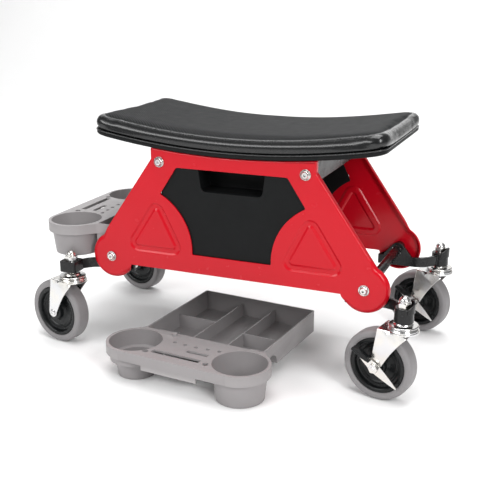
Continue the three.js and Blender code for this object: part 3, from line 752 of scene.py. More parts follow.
def flange_reach(outline):
    """How far in the rolled edge starts at each point, and how much of the flange is there. It is
    wide round the knuckles, narrow elsewhere and fades out at the ends of the straight bottom."""
    points = np.array(outline)
    low_x = KNUCKLE.x - sqrt(KNUCKLE.radius ** 2 - (KNUCKLE.z - PLATE.bottom) ** 2)

    def nearest(x, z):
        return np.minimum(*[np.linalg.norm(points - (end * x, z), axis=1) for end in (-1, 1)])

    on_bottom = (points[:, 1] < PLATE.bottom + 0.1) & (np.abs(points[:, 0]) <= low_x + 0.1)
    flanged = np.where(on_bottom, 0, smoothstep(nearest(low_x, PLATE.bottom), 0, 16))
    widening = 1 - smoothstep(nearest(KNUCKLE.x, KNUCKLE.z), 35, 44)
    return (ROLL.edge + (ROLL.knuckle - ROLL.edge) * widening) * flanged, flanged


def side_plate():
    """A pressed sheet for the front: the face with its two embossed rings, its edge rolled back
    into a flange everywhere but along the bottom, and a window."""
    outline = plate_outline()
    normals = inward_normals(outline)
    points = np.array(outline)
    size, flanged = flange_reach(outline)

    face_edge = [tuple(p) for p in points + normals * size[:, None]]
    window = window_outline()
    flat, faces = triangulated([face_edge, window, *emboss_contours()], face_edge, [window])
    vertices = [(x, d - PLATE.face, z) for (x, z), d in zip(flat, emboss_depth(flat))]

    turns = [pi / 2 * k / 6 for k in range(7)]
    roll = [(size * (1 - sin(a)), size * (1 - cos(a))) for a in turns]
    roll.append((size * 0, np.maximum(size, PLATE.flange * flanged)))
    rows = []
    for inset, back in roll:
        place = points + normals * inset[:, None]
        rows.append(range(len(vertices), len(vertices) + len(points)))
        vertices += [(x, y - PLATE.face, z) for (x, z), y in zip(place, back)]
    plate = mesh_object("side_plate", vertices, faces + joined(rows))
    clean_sheet(plate, Vector((0, -1, 0)))
    modified(plate, "SOLIDIFY", thickness=PLATE.thickness, offset=-1)
    return soften(plate, 0.5, 2, 55)


def clean_sheet(obj, outward):
    """Merges an open sheet's seams and turns its normals to the outside."""
    with editing(obj) as bm:
        bmesh.ops.remove_doubles(bm, verts=bm.verts, dist=0.02)
        bmesh.ops.dissolve_degenerate(bm, edges=bm.edges, dist=0.01)
        bmesh.ops.recalc_face_normals(bm, faces=bm.faces)
        largest = max(bm.faces, key=lambda f: f.calc_area())
        if largest.normal.dot(outward) < 0:
            bmesh.ops.reverse_faces(bm, faces=bm.faces)


def window_panel():
    """The black panel behind the window, its hand-hole and the closed pocket behind the hole."""
    outer = -PLATE.face + 2.9
    inner = outer + 3
    half, wall = HAND_HOLE.half, POCKET.wall
    depth, top, bottom = POCKET.depth, POCKET.top, HAND_HOLE.z
    panel = slab("panel", window_outline(6), outer, inner, upright=True)
    shell = block("shell", -half - wall, half + wall, inner - 1, inner + depth, bottom - wall, top + wall)
    hollow = block("hollow", -half, half, inner - 0.5, inner + depth - wall, bottom, top)
    lower = HAND_HOLE.bottom_half
    notch = [(half, top + 10), (lower, bottom), (-lower, bottom), (-half, top + 10)]
    hole = slab("hole", rounded(notch, [0, 9, 9, 0], 6), outer - 1, inner + 0.2, upright=True)
    return soften(cut(fuse(panel, shell), hollow, hole), 0.8, 3)


def button_bolt():
    """A socket bolt's washer and button head, facing -Y, its bearing face at y = 0."""
    washer, thick = BOLT.washer, BOLT.washer_thickness
    radius, height = BOLT.radius, BOLT.height
    ring = [(radius - 2, 0), (washer, 0), (washer, thick), (radius - 2, thick)]
    dome = [(0, thick - 0.3), (radius, thick - 0.3)]
    dome += [(radius * cos(a), thick + height * sin(a)) for a in np.linspace(0.1, 1.15, 9)]
    head = lathe("head", [*dome, (0, thick + height * sin(1.15))], 40)
    socket = slab("socket", hexagon(BOLT.socket), thick + 0.9, thick + height + 1)
    bolt = gather(cut(head, socket), lathe("washer", rounded(ring, [0, 0.2, 0.45, 0], 3), 48))
    return turned_about("X", 90, smooth(bolt, 32))


def build_sides():
    plate = side_plate()
    panel = window_panel()
    for place, degrees in (("front", 0), ("rear", 180)):
        turn = SEAT_PLACE @ spin(degrees)
        piece(twin(plate), f"pressed_plate_{place}", turn, "seat_frame", "red_enamel", f"side_plate_{place}")
        piece(twin(panel), f"window_insert_{place}", turn, "seat_frame", "black_panel",
              f"window_panel_{place}")
    discard(plate, panel)


def build_bolts():
    bolt = button_bolt()
    for corner in CORNERS:
        side, end = corner_signs(corner)
        degrees = 0 if side < 0 else 180
        for kind, (x, z) in (("top_bolt", TOP_BOLT), ("knuckle_bolt", (KNUCKLE.x, KNUCKLE.z))):
            where = Matrix.Translation((end * x, side * (PLATE.face + 0.3), z))
            turn = SEAT_PLACE @ where @ spin(degrees)
            piece(twin(bolt), f"{kind}_head_{corner}", turn, "seat_frame", "zinc")
    discard(bolt)


def corner_signs(corner):
    """The corner's side, -1 at the front, and its end, -1 at the left."""
    return (-1 if corner.startswith("front") else 1), (-1 if corner.endswith("left") else 1)


# ---- cross members
def pressed_brace(end, reach, wall=2.5):
    """A channel, open below, with its top cut back over the plates' flanges."""
    low, high = BRACE.bottom, BRACE.top
    x0, x1 = sorted((end * BRACE.x0, end * BRACE.x1))
    brace = block("brace", x0, x1, -reach, reach, low, high)
    cut(brace, block("inside", x0 + wall, x1 - wall, -reach + 3, reach - 3, low - 1, high - wall))
    for side in (-1, 1):
        y0, y1 = sorted((side * (reach - 6.5), side * (reach + 1)))
        cut(brace, block("relief", x0 - 1, x1 + 1, y0, y1, high - 2.7, high + 1))
    return soften(brace, 0.9, 3)


def build_cross_members():
    reach = PLATE.face - PLATE.thickness - 0.6
    ring = rounded([(4.4, -83), (7, -83), (7, 83), (4.4, 83)], 0.5, 2)
    for end, place in ((-1, "left"), (1, "right")):
        piece(pressed_brace(end, reach), f"pressed_brace_{place}", SEAT_PLACE, "seat_frame", "black_enamel",
              f"seat_brace_{place}")
        tube = turned_about("X", 90, smooth(lathe("tube", ring, 40)))
        where = SEAT_PLACE @ Matrix.Translation((end * KNUCKLE.x, 0, KNUCKLE.z))
        piece(tube, f"round_tube_{place}", where, "seat_frame", "black_enamel", f"cross_tube_{place}")


# ---- caster arms
def bar_outline(side, end):
    """The arm's bar in plan, a strip on edge that swings out from the plate to the stem."""
    half = ARM.thickness / 2
    bend = Vector((ARM.bend_x, ARM.y))
    control = Vector((ARM.bend_x + 24, ARM.y + 1))
    finish = Vector((STEM.x, STEM.y))
    centre = [Vector((ARM.inner_x, ARM.y))]
    centre += [quadratic(bend, control, finish, k / 18) for k in range(19)]
    left, right = [], []
    for i, here in enumerate(centre):
        along = (centre[min(i + 1, len(centre) - 1)] - centre[max(i - 1, 0)]).normalized()
        across = Vector((-along.y, along.x)) * half
        left.append(here + across)
        right.append(here - across)
    return [(end * p.x, side * p.y) for p in left + right[::-1]]


def cradle(side, end):
    """The curved upstand beside the stem's nut at the right-hand corners, highest at its middle."""
    first, last = (-60, 150) if side < 0 else (-80, 80)
    inner, outer, steps = 11.6, 14.2, 28
    low = EYE.top - 7
    vertices = []
    for k in range(steps + 1):
        angle = radians(first + (last - first) * k / steps)
        high = EYE.top - 1.5 + 9.5 * sin(pi * k / steps) ** 0.7
        for radius, z in ((inner, low), (outer, low), (outer, high), (inner, high)):
            vertices.append((end * (STEM.x + radius * cos(angle)),
                             side * STEM.y + radius * sin(angle), z))
    rows = numbered(steps + 1, 4)
    return mesh_object("upstand", vertices, [tuple(rows[0]), tuple(rows[-1])[::-1], *joined(rows)])


def caster_arm(corner):
    """The bar with its ear on the plate, its eye or square end round the stem, and a bolt boss."""
    side, end = corner_signs(corner)
    x, y = end * STEM.x, side * STEM.y
    arm = slab("arm", bar_outline(side, end), ARM.bottom, ARM.top)
    y0, y1 = sorted((side * (ARM.y - 3), side * (ARM.y + 3)))
    foot = ARM.bottom + 12
    triangle = [(KNUCKLE.x, KNUCKLE.z), (KNUCKLE.x - 12, foot), (KNUCKLE.x + 12, foot)]
    ear = slab("ear", [(end * a, b) for a, b in around(triangle, 10.5, 6)], y0, y1, upright=True)
    fuse(arm, ear)
    if end < 0:
        square = rounded(rectangle(x - 14, x + 13, y - 13, y + 13), 3.5, 4)
        fuse(arm, slab("block_end", square, EYE.bottom + 3, EYE.top))
    else:
        fuse(arm, post("eye", x, y, EYE.bottom, EYE.top, EYE.radius, EYE.radius + 0.8))
    soften(arm, 1.0, 3, 38)
    boss = turned_about("X", 90, smooth(lathe("boss", [(0, 0), (9, 0), (9, 9.3), (0, 9.3)], 40)))
    boss_y = side * (ARM.y + 3) if side < 0 else ARM.y + 3 + 9.3
    boss.data.transform(Matrix.Translation((end * KNUCKLE.x, boss_y, KNUCKLE.z)))
    gather(arm, boss)
    if end > 0:
        gather(arm, soften(cradle(side, end), 0.9, 3))
    return arm


def build_arms():
    for corner in CORNERS:
        piece(caster_arm(corner), f"forged_arm_{corner}", SEAT_PLACE, "seat_frame", "black_enamel",
              f"caster_arm_{corner}")


# ---- casters
def raceway():
    """The stem and its dished upper race."""
    radius, low, high = RACE.radius, RACE.bottom, RACE.top
    profile = rounded([
        (0, FORK.crown_bottom + 0.3), (STEM.radius, FORK.crown_bottom + 0.3), (STEM.radius, low),
        (radius - 1.5, low), (radius, low + 1.3), (radius - 1.2, low + 3), (radius - 7.5, low + 3.4),
        (radius - 9, high), (STEM.radius, high), (STEM.radius, STEM.top), (0, STEM.top),
    ], [0, 0, 0, 0.8, 1.2, 1.2, 1.5, 0.8, 0, 0, 0], 4)
    return smooth(lathe("raceway", profile, 64), 35)


def acorn_nut():
    """A hexagon with a narrow neck and a tall dome."""
    base = EYE.top + 0.3
    radius, hex_height, dome = ACORN.radius, ACORN.hex, ACORN.dome
    foot = slab("hexagon", hexagon(radius), base, base + hex_height)
    chamfer = [(0, base - 1), (radius * 0.97, base - 1), (radius * 1.01, base + hex_height - 1.4),
               (radius * 0.86, base + hex_height + 0.6), (0, base + hex_height + 0.6)]
    foot = combine(foot, "INTERSECT", [lathe("chamfer", chamfer, 48)])
    shape = [(0, base + hex_height - 0.5), (radius * 0.74, base + hex_height - 0.5)]
    shape += [(radius * 0.8 * cos(a), base + hex_height + 0.5 + (dome - 0.5) * sin(a))
              for a in np.linspace(0.1, 1.5, 12)]
    cap = lathe("cap", [*shape, (0, base + hex_height + dome)], 48)
    return gather(smooth(foot, 30), smooth(cap, 60))


def leg_outline():
    """One leg of the fork: upright rear edge, round tip, and a front edge that sweeps up."""
    front = -sqrt(FORK.crown ** 2 - FORK.outer ** 2)
    trail, axle, tip, top = WHEEL.trail, WHEEL.radius, FORK.tip, FORK.crown_top
    rear_edge = [(trail, top), (trail + tip, axle + 2)]
    point = arc((trail, axle), tip, 0, -180, 16)
    start, control = Vector((trail - tip, axle)), Vector((9, 77))
    end = Vector((front, FORK.crown_bottom - 4))
    sweep = [tuple(quadratic(start, control, end, t)) for t in np.linspace(0, 1, 14)]
    return resampled(rear_edge + point + sweep[1:] + [(front, top)], 6)


def fold_x(z):
    """Where the crease runs at each height: from under the crown down towards the axle."""
    return 13 + (FORK.crown_bottom - z) * 0.32


def creased(obj):
    """Presses a crease out of each leg, along a line from the crown to the axle."""
    for v in obj.data.vertices:
        if v.co.z < FORK.crown_bottom - 1 and abs(v.co.y) > FORK.inner - 1:
            away = v.co.x - fold_x(v.co.z)
            fade = min(max((v.co.z - 60) / 12, 0), 1)
            out = 1.7 * fade * max(0, 1 - abs(away) / 16) - min(max(-away, 0) * 0.12, 2.2) * fade
            v.co.y += copysign(out, v.co.y)
    return obj


def leg(side):
    """A leg's plate: its outline and the line of its crease, made solid and then creased."""
    inner, outer = FORK.inner, FORK.outer
    outline = leg_outline()
    crease = [(fold_x(z), z) for z in np.linspace(58, FORK.crown_top - 1, 14)]
    flat, faces = triangulated([outline, crease], outline, [])
    y0, y1 = sorted((side * inner, side * outer))
    count = len(flat)
    edges = {}
    for face in faces:
        for a, b in zip(face, face[1:] + face[:1]):
            key = (min(a, b), max(a, b))
            edges[key] = edges.get(key, 0) + 1
    vertices = [(x, y, z) for y in (y0, y1) for x, z in flat]
    solid = list(faces) + [tuple(i + count for i in face) for face in faces]
    solid += [(a, b, b + count, a + count) for (a, b), uses in edges.items() if uses == 1]
    return creased(mesh_object("leg", vertices, solid))


def fork():
    """The pressed yoke: a crown with its lower race and two legs folded down from it."""
    low, high, radius, outer = FORK.crown_bottom, FORK.crown_top, FORK.crown, FORK.outer
    start = degrees(asin(outer / radius))
    trail = WHEEL.trail
    crown_outline = arc((0, 0), radius, start, 360 - start, 40) + [(trail, -outer), (trail, outer)]
    crown = slab("crown", crown_outline, low, high)
    body = fuse(crown, leg(-1), leg(1))
    soften(body, 0.9, 2, 50, 9)
    race = rounded([
        (STEM.radius + 0.5, high - 1), (RACE.radius, high - 1), (RACE.radius, high + 1),
        (RACE.radius - 1.5, RACE.bottom - 0.4), (RACE.radius - 5, RACE.bottom - 0.4),
        (RACE.radius - 6, high + 1), (STEM.radius + 0.5, high + 1),
    ], [0, 0.5, 1.2, 0.9, 0.8, 0, 0], 4)
    return gather(body, smooth(lathe("race", race, 64), 35))


def wheel_core():
    """The black rim with its dished web, a raised ring and the hub."""
    half = WHEEL.width / 2 - 1
    side = [(WHEEL.axle, 14.6), (8.5, 14.8), (11.5, 14.6), (12.5, 13.5), (13, 7.2), (17, 5.2), (24.5, 5.0),
            (26, 6.3), (27.5, 6.3), (29, 5.0), (32.3, 5.6), (33.4, half - 1.2), (35, half),
            (WHEEL.core - 1, half), (WHEEL.core, half - 0.9)]
    profile = side + [(r, -w) for r, w in reversed(side)]
    return turned_about("X", 90, smooth(lathe("core", rounded(profile, 0.7, 2), 72), 50))


def tyre():
    """A soft tyre with round shoulders and a shallow step where it grips the rim."""
    half = WHEEL.width / 2
    inner, outer = WHEEL.core + 0.25, WHEEL.radius
    side = [(inner, half - 1.6), (inner + 0.6, half - 0.6), (43.5, half - 0.15), (46, half - 0.4)]
    side += [(46 + 4 * sin(a), half - 6.4 + 6 * cos(a)) for a in np.linspace(0.15, 1.45, 9)]
    side.append((outer, half - 7.5))
    profile = side + [(r, -w) for r, w in reversed(side)]
    return turned_about("X", 90, smooth(lathe("tyre", profile, 96), 60))


def axle_bolt():
    side = FORK.outer + 0.3
    head_from = side + BRAKE.thickness + 0.3
    head = soften(slab("head", hexagon(7), head_from, head_from + 4.2), 0.6, 2)
    low, high = head_from + 4, head_from + 4.5
    tip = smooth(lathe("tip", [(0, low), (3.2, low), (2.8, high), (0, high)], 32))
    nut = soften(slab("nut", hexagon(7), -side - 4.8, -side), 0.6, 2)
    shank = smooth(lathe("shank", [(0, -side), (4, -side), (4, head_from), (0, head_from)], 32))
    return turned_about("X", -90, gather(head, tip, nut, shank))


def axle_rivet():
    """A pin with low rounded heads, each with a small dimple."""
    side = FORK.outer + 0.3
    head = [(0, 0.6), (1.2, 0.7), (1.8, 1.4), (3.6, 1.3), (5, 0.3), (5, 0), (4, -0.2)]
    profile = [(r, side + h) for r, h in head]
    profile += [(r, -h) for r, h in reversed(profile)]
    return turned_about("X", -90, smooth(lathe("rivet", profile, 40), 35))


def brake_lever():
    """A bright spring strip across the wheel's face, broad in its middle."""
    half, width, thick = BRAKE.half, BRAKE.half_width, BRAKE.thickness
    near = FORK.outer + 0.3
    upper = [(x, width * (1 - (abs(x) / half) ** 1.6) + 1.1) for x in np.linspace(half, -half, 30)]
    lower = [(x, -width * (1 - (abs(x) / half) ** 1.25) - 0.9) for x in np.linspace(-half, half, 30)]
    return soften(slab("strip", upper + lower, near, near + thick, upright=True), 0.5, 2, 50)


def brake_pedal():
    """The black pedal over the strip's upper end."""
    half = BRAKE.half
    near = FORK.outer + 0.5
    shape = [(0.2, 3.5), (0.5, 0.5), (0.98, -1), (0.99, 3.5), (0.75, 8.5), (0.35, 8.2)]
    outline = rounded([(half * along, z) for along, z in shape], 1.6, 4)
    return soften(slab("pedal", outline, near, near + 8.6, upright=True), 1.2, 3)


def build_casters():
    stem, nut, yoke, core, rubber = raceway(), acorn_nut(), fork(), wheel_core(), tyre()
    bolt, rivet, strip, pedal = axle_bolt(), axle_rivet(), brake_lever(), brake_pedal()
    tilt = spin(-BRAKE.angle, "Y")
    for corner in CORNERS:
        caster, wheel, braked = caster_place(corner), wheel_place(corner), corner in BRAKED
        rows = [
            (stem, "upper_race", caster, "seat_frame", "zinc", "caster_stem"),
            (nut, "domed_nut", caster, "seat_frame", "zinc", "acorn_nut"),
            (yoke, "pressed_fork", caster, f"swivel_{corner}", "zinc", "caster_fork"),
            (core, "moulded_core", wheel, f"wheel_{corner}", "black_plastic", "wheel_core"),
            (rubber, "soft_tyre", wheel, f"wheel_{corner}", "grey_rubber", "tyre"),
            (bolt if braked else rivet, "axle_pin", wheel, f"swivel_{corner}", "zinc", "axle_bolt"),
        ]
        if braked:
            rows.append((strip, "brake_strip", wheel @ tilt, f"lever_{corner}", "zinc", "brake_lever"))
            rows.append((pedal, "brake_pedal", wheel @ tilt, f"lever_{corner}", "black_plastic"))
        for shape, name, place, body, slot, *nodes in rows:
            piece(twin(shape), f"{name}_{corner}", place, body, slot, *[f"{n}_{corner}" for n in nodes])
    discard(stem, nut, yoke, core, rubber, bolt, rivet, strip, pedal)


# ---- trays
def tray_outline():
    """The rim in plan: a square back and two round cups joined by a straight front edge."""
    half, depth = TRAY.half, TRAY.depth
    neck = CUP.y + CUP.rim + 16
    right = rounded([(half - 12, 0), (half, 0), (half, neck + 12)], [0, 3.5, 0], 5, closed=False)
    right += arc((half + 24, neck - 2), 24, 180, 215, 8)
    right += arc((CUP.x, CUP.y), CUP.rim, 50, -90, 40)
    right[-1] = (right[-1][0], -depth)
    return mirrored(right) + right


def tray_cells():
    """What is hollowed out of the back part: two split side columns and a long middle one."""
    half, wall, height, back = TRAY.half, TRAY.wall, TRAY.height, TRAY.deck_back
    inside_x = half - wall
    divider = height - 11
    floor = TRAY.floor + wall
    cells = [block("well", -inside_x, inside_x, -back, -wall, divider, height + 1)]
    for x0, x1, split in ((-inside_x, -30, 88), (-28, 28, None), (30, inside_x, 108)):
        spans = [(-back, -wall)] if split is None else [(-split, -wall), (-back, -split - 2)]
        cells += [block("cell", x0, x1, y0, y1, floor, divider + 0.5) for y0, y1 in spans]
    return cells


def side_notches(radius, skin):
    """The arched notches under both side walls, closed by round ends, or with skin their linings."""
    notches = []
    for end in (-1, 1):
        inner = TRAY.half - NOTCH.reach - skin
        outer = TRAY.half + (1 if skin == 0 else -0.5)
        x0, x1 = sorted((end * inner, end * outer))
        tunnel = lathe("tunnel", [(0, x0), (radius, x0), (radius, x1), (0, x1)], 56)
        turned_about("Y", 90, tunnel)
        tunnel.data.transform(Matrix.Translation((0, NOTCH.y, TRAY.floor)))
        notches.append(tunnel)
    return notches


def deck_cuts():
    """The tool slots and holes in the deck between the cups."""
    height = TRAY.height
    top, bottom = height + 1, height - 6
    cuts = []
    for x0, x1, y0, y1 in ((-43, 34, -248.5, -239.5), (1, 35, -226.5, -219.5)):
        cuts.append(slab("slot", rounded(rectangle(x0, x1, y0, y1), 1.2, 3), bottom, top))
    holes = [(-51, -249, 4.4), (45, -247, 4.4)]
    holes += [(-30 + i * 18, -207 + abs(i - 1.5) * 1.5, 3.1) for i in range(5)]
    cuts += [post("hole", x, y, bottom, top, r, sides=24) for x, y, r in holes]
    return cuts


def cup_bores():
    """Both cups' insides. The left one steps in to a narrower foot."""
    x, y, wall, top = CUP.x, CUP.y, TRAY.wall, TRAY.height + 1
    step, body, foot = STEPPED_CUP.step, STEPPED_CUP.body, STEPPED_CUP.foot
    return [post("bore", x, y, wall + 0.3, top, CUP.bore, CUP.foot - wall, 88),
            post("bore", -x, y, step + wall, top, CUP.bore, CUP.bore - 2, 88),
            post("bore", -x, y, wall + 0.3, step + wall + 1, body - wall, foot - wall, 88)]


def cup_bodies():
    """Both cups' outsides."""
    x, y, top, step = CUP.x, CUP.y, TRAY.height - 1, STEPPED_CUP.step
    return [post("cup", x, y, 0, top, CUP.body, CUP.foot, 88),
            post("cup", -x, y, step, top, CUP.body, CUP.body - 1.5, 88),
            post("cup", -x, y, 0, step + 1, STEPPED_CUP.body, STEPPED_CUP.foot, 88)]


def tool_tray():
    """The moulded tray: cells behind a deck with a cup at each end."""
    half, depth, height, floor = TRAY.half, TRAY.depth, TRAY.height, TRAY.floor
    wall, back = TRAY.wall, TRAY.deck_back
    x, y = CUP.x, CUP.y
    tray = slab("tray", tray_outline(), height - TRAY.band, height)
    corners = [(-half, -back - wall), (half, -back - wall), (half, 0), (-half, 0)]
    body = slab("body", rounded(corners, [0, 0, 3.5, 3.5], 5), floor, height - 1)
    fuse(tray, body, block("skirt", -48, 40, -depth, -depth + wall, height - 22, height - 1))
    cut(tray, *tray_cells())
    under = block("under", -x, x, -depth + wall, -back - wall, -1, height - 2.7)
    for end in (-1, 1):
        cut(under, post("guard", end * x, y, -2, height + 2, CUP.bore + wall, sides=88))
    cut(tray, under)
    fuse(tray, *side_notches(NOTCH.radius + NOTCH.skin, NOTCH.skin))
    cut(tray, block("below", -half - 5, half + 5, -back + 1, 5, -30, floor))
    cut(tray, *side_notches(NOTCH.radius, 0))
    fuse(tray, *cup_bodies())
    cut(tray, *cup_bores(), *deck_cuts())
    fuse(tray, post("boss", -43, -back - 8, height - 1, height + 3.6, 3.4, 4.4, 32))
    return soften_level(tray, 0.6, (height, height - 11, 0))


def build_trays():
    tray = tool_tray()
    for kind, place in (("docked", docked_tray_place()), ("loose", loose_tray_place())):
        piece(twin(tray), f"moulded_tray_{kind}", place, f"{kind}_tray", "grey_plastic", f"tray_{kind}")
    discard(tray)


# ---- seat
def lofted(name, rings, spacing):
    """A closed form through plan outlines at rising heights, remade with even small faces. Each
    ring is (half length, half width, corner radius, height)."""
    loops = [resampled(rounded_rectangle(hx, hy, r, 10), 400) for hx, hy, r, _ in rings]
    vertices = [(x, y, z) for loop, (*_, z) in zip(loops, rings) for x, y in loop]
    rows = numbered(len(rings), len(loops[0]))
    solid = mesh_object(name, vertices, [*joined(rows), tuple(rows[0]), tuple(rows[-1])])
    return modified(solid, "REMESH", mode="VOXEL", voxel_size=spacing)


def sag(obj):
    for v in obj.data.vertices:
        v.co.z = sagged(v.co.z, v.co.x)
    return obj


def edge_rings(half_x, half_y, corner, low, high, low_radius, high_radius, steps=5):
    """Rings up a slab's side with its lower and upper edges rounded."""
    turns = [pi / 2 * k / steps for k in range(steps + 1)]
    profile = [(low_radius * (1 - sin(a)), low + low_radius * (1 - cos(a))) for a in turns]
    profile += [(high_radius * (1 - cos(a)), high - high_radius * (1 - sin(a))) for a in turns]
    return [(half_x - inset, half_y - inset, max(corner - inset, 2), z) for inset, z in profile]


def inflate(cushion, cap):
    """Cloth pressure swells the cover. Its foot is held on the board, and no point moves past cap."""
    start = np.array([v.co for v in cushion.data.vertices])
    held = cushion.vertex_groups.new(name="held")
    base = SEAT.underside + BOARD_THICKNESS + 3.5
    held.add([i for i, p in enumerate(start) if p[2] < sagged(base, p[0])], 1.0, "REPLACE")
    cushion.data.transform(Matrix.Scale(MM, 4))
    cloth = cushion.modifiers.new("cloth", "CLOTH")
    cloth.settings.use_pressure = True
    cloth.settings.uniform_pressure_force = 4
    cloth.settings.vertex_group_mass = "held"
    cloth.settings.effector_weights.gravity = 0
    cloth.settings.quality = 4
    for number in range(1, 21):
        bpy.context.scene.frame_set(number)
    graph = bpy.context.evaluated_depsgraph_get()
    swollen = np.array([v.co for v in cushion.evaluated_get(graph).data.vertices]) / MM
    cushion.modifiers.clear()
    bpy.context.scene.frame_set(1)
    moved = swollen - start
    length = np.maximum(np.linalg.norm(moved, axis=1), 1e-9)
    moved *= (cap * np.tanh(length / cap) / length)[:, None]
    for v, p in zip(cushion.data.vertices, start + moved):
        v.co = p
    cushion.vertex_groups.clear()
    return cushion


def press_seam(cushion):
    """A narrow channel where the woven top is sewn to the band."""
    half_x, half_y, corner = SEAT_PANEL.half_x, SEAT_PANEL.half_y, SEAT_PANEL.corner
    cushion.data.update()
    for v in cushion.data.vertices:
        if v.normal.z < 0.35:
            continue
        dx = max(abs(v.co.x) - (half_x - corner), 0)
        dy = max(abs(v.co.y) - (half_y - corner), 0)
        away = hypot(dx, dy) - corner
        v.co.z -= 1.1 * exp(-(away / 1.9) ** 2)
        if away < 0:
            v.co.z -= 0.5 * exp(-((away + 4) / 6) ** 2)
    return cushion


def seat_cushion():
    base = SEAT.underside + BOARD_THICKNESS + 0.4
    half_x, half_y = SEAT.length / 2, SEAT.width / 2
    rings = edge_rings(half_x - 1.2, half_y - 1.2, SEAT.corner, base, CUSHION_TOP - 2.2, 8.5, 13)
    cushion = sag(lofted("cushion", rings, 4.0))
    modified(cushion, "SMOOTH", iterations=4)
    inflate(cushion, SWELLING)
    modified(cushion, "SUBSURF", levels=1)
    press_seam(cushion)
    cushion.data.shade_smooth()
    return cushion


def seat_board():
    """The curved board, with a rounded lower edge."""
    half_x, half_y = SEAT.length / 2 - 3, SEAT.width / 2 - 3
    low, high = SEAT.underside, SEAT.underside + BOARD_THICKNESS
    outline = resampled(rounded_rectangle(half_x, half_y, SEAT.corner - 3, 10), 8)
    insets = ((2.2, low), (0.8, low + 0.7), (0, low + 2.2), (0, high - 0.8), (0.8, high))
    rings = [(1 - inset / half_y, z) for inset, z in insets]
    vertices = [(x - copysign((1 - scale) * half_y, x), y * scale, z)
                for scale, z in rings for x, y in outline]
    rows = numbered(len(rings), len(outline))
    faces = joined(rows)
    across, along = np.linspace(-half_y + 12, half_y - 12, 9), np.linspace(-half_x + 12, half_x - 12, 41)
    lines = [[(x, y) for y in across] for x in along]
    for row, z in ((rows[0], low), (rows[-1], high)):
        edge = [vertices[i][:2] for i in row]
        flat, triangles = triangulated([edge, *lines], edge, [])
        start = len(vertices)
        vertices += [(x, y, z) for x, y in flat]
        faces += [tuple(start + i for i in t) for t in triangles]
    board = mesh_object("board", vertices, faces)
    face_out(board, 0.05)
    return smooth(sag(board), 45)


def piping():
    """A thin bead round the cushion's foot, in the joint with the board."""
    half_x, half_y = SEAT.length / 2 - 3.2, SEAT.width / 2 - 3.2
    path = resampled(rounded_rectangle(half_x, half_y, SEAT.corner - 3.2, 10), 8)
    z = SEAT.underside + BOARD_THICKNESS + 0.9
    bead, sides = 1.15, 10
    vertices = []
    for (x, y), (nx, ny) in zip(path, inward_normals(path)):
        for k in range(sides):
            a = 2 * pi * k / sides
            out, up = cos(a), sin(a)
            vertices.append((x + nx * bead * out, y + ny * bead * out, z + bead * up))
    rows = numbered(len(path), sides)
    return smooth(sag(mesh_object("piping", vertices, joined([*rows, rows[0]]))), 80)


def build_seat():
    cushion = seat_cushion()
    piece(cushion, "padded_cushion", SEAT_PLACE, "seat_frame", "seat_vinyl", "seat_cushion")
    piece(seat_board(), "curved_board", SEAT_PLACE, "seat_frame", "black_panel", "seat_board")
    piece(piping(), "cushion_piping", SEAT_PLACE, "seat_frame", "seat_vinyl", material=PIPING)


def paint_cad_nodes():
    """The CAD nodes that still show get the finished materials."""
    slots = {part["node"]: part["material_slot"] for part in frame["record"]["subparts"]}
    for name, obj in frame["nodes"].items():
        if not obj.hide_render and slots[name] in ("black_enamel", "zinc"):
            obj.data.materials.clear()
            obj.data.materials.append(MATERIALS[slots[name]])


# ---- stage
def floor_paint():
    n = Nodes("floor_paint")
    shade = n.colours(n.noise(3), (0.92, 0.92, 0.92), (0.92 * 0.97, 0.92 * 0.97, 0.92 * 0.97))
    return n.set(Base_Color=shade, Roughness=0.7)


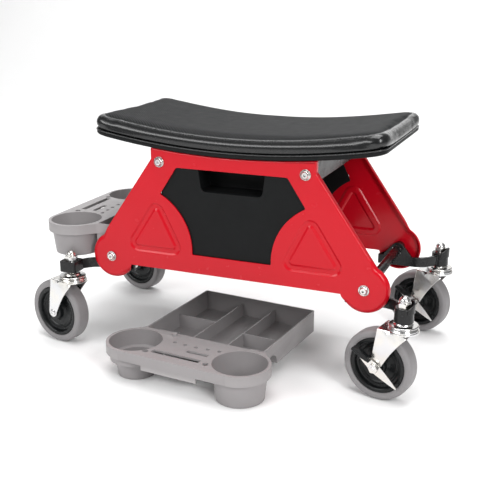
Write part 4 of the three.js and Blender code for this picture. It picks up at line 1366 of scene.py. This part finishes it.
def build_stage():
    """A wide pale floor that sweeps up into a wall behind the left half."""
    curve = [(1.6 + 1.2 * sin(a), 1.2 - 1.2 * cos(a)) for a in np.linspace(0, pi / 2, 15)]
    profile = [(-9, 0), *curve, (2.8, 5)]
    vertices = [(x, y, z) for x in (-9, 0.8) for y, z in profile]
    vertices += [(0.8, 9, 0), (9, 9, 0), (9, -9, 0)]
    count = len(profile)
    faces = [(i, i + 1, i + 1 + count, i + count) for i in range(count - 1)]
    faces.append((count, count + 1, 2 * count, 2 * count + 1, 2 * count + 2))
    floor = mesh_object("floor", vertices, faces)
    floor.data.shade_smooth()
    floor.data.materials.append(floor_paint())
    floor.location.z = -0.0005
    world = bpy.data.worlds.new("studio")
    world.use_nodes = True
    background = world.node_tree.nodes["Background"]
    background.inputs["Color"].default_value = (1, 1, 1, 1)
    background.inputs["Strength"].default_value = 0.24
    bpy.context.scene.world = world


def softbox(name, place, target, size, power):
    light = bpy.data.lights.new(name, "AREA")
    light.shape = "RECTANGLE"
    light.size, light.size_y = size
    light.energy = power
    obj = bpy.data.objects.new(name, light)
    obj.location = place
    obj.rotation_euler = (Vector(target) - Vector(place)).to_track_quat("-Z", "Y").to_euler()
    bpy.context.scene.collection.objects.link(obj)


def build_lights():
    middle = (SEAT_MIDDLE.x, SEAT_MIDDLE.y, 0.2)
    softbox("key", (-1.2, -1.9, 1.5), middle, (1.9, 0.7), 30)
    softbox("top", (0.2, 0.0, 2.2), middle, (1.8, 1.4), 42)
    softbox("right", (1.5, -1.2, 1.15), (0.1, -0.1, 0.1), (0.5, 1.0), 24)
    softbox("backdrop", (-1.2, 1.3, 3.0), (-1.2, 2.8, 0.9), (3.5, 0.6), 52)


def build_camera():
    """The camera of the reference view, in millimetres from the seat's middle."""
    place = SEAT_PLACE @ Vector((460.1, -1152.3, 543.1))
    data = bpy.data.cameras.new("camera")
    data.lens = 60.75
    data.sensor_width = 36
    data.shift_x = -0.0016
    data.shift_y = -0.0064
    camera = bpy.data.objects.new("camera", data)
    camera.location = place
    azimuth, elevation, roll = 22.33, 17.52, 0.08
    camera.rotation_euler = (spin(azimuth) @ spin(90 - elevation, "X") @ spin(roll)).to_euler()
    bpy.context.scene.collection.objects.link(camera)
    bpy.context.scene.camera = camera
    bpy.context.scene.view_settings.view_transform = "Standard"


build_camera()
build_stage()
build_lights()
build_sides()
build_bolts()
build_cross_members()
build_arms()
build_casters()
build_trays()
build_seat()
paint_cad_nodes()

bpy.context.view_layer.update()
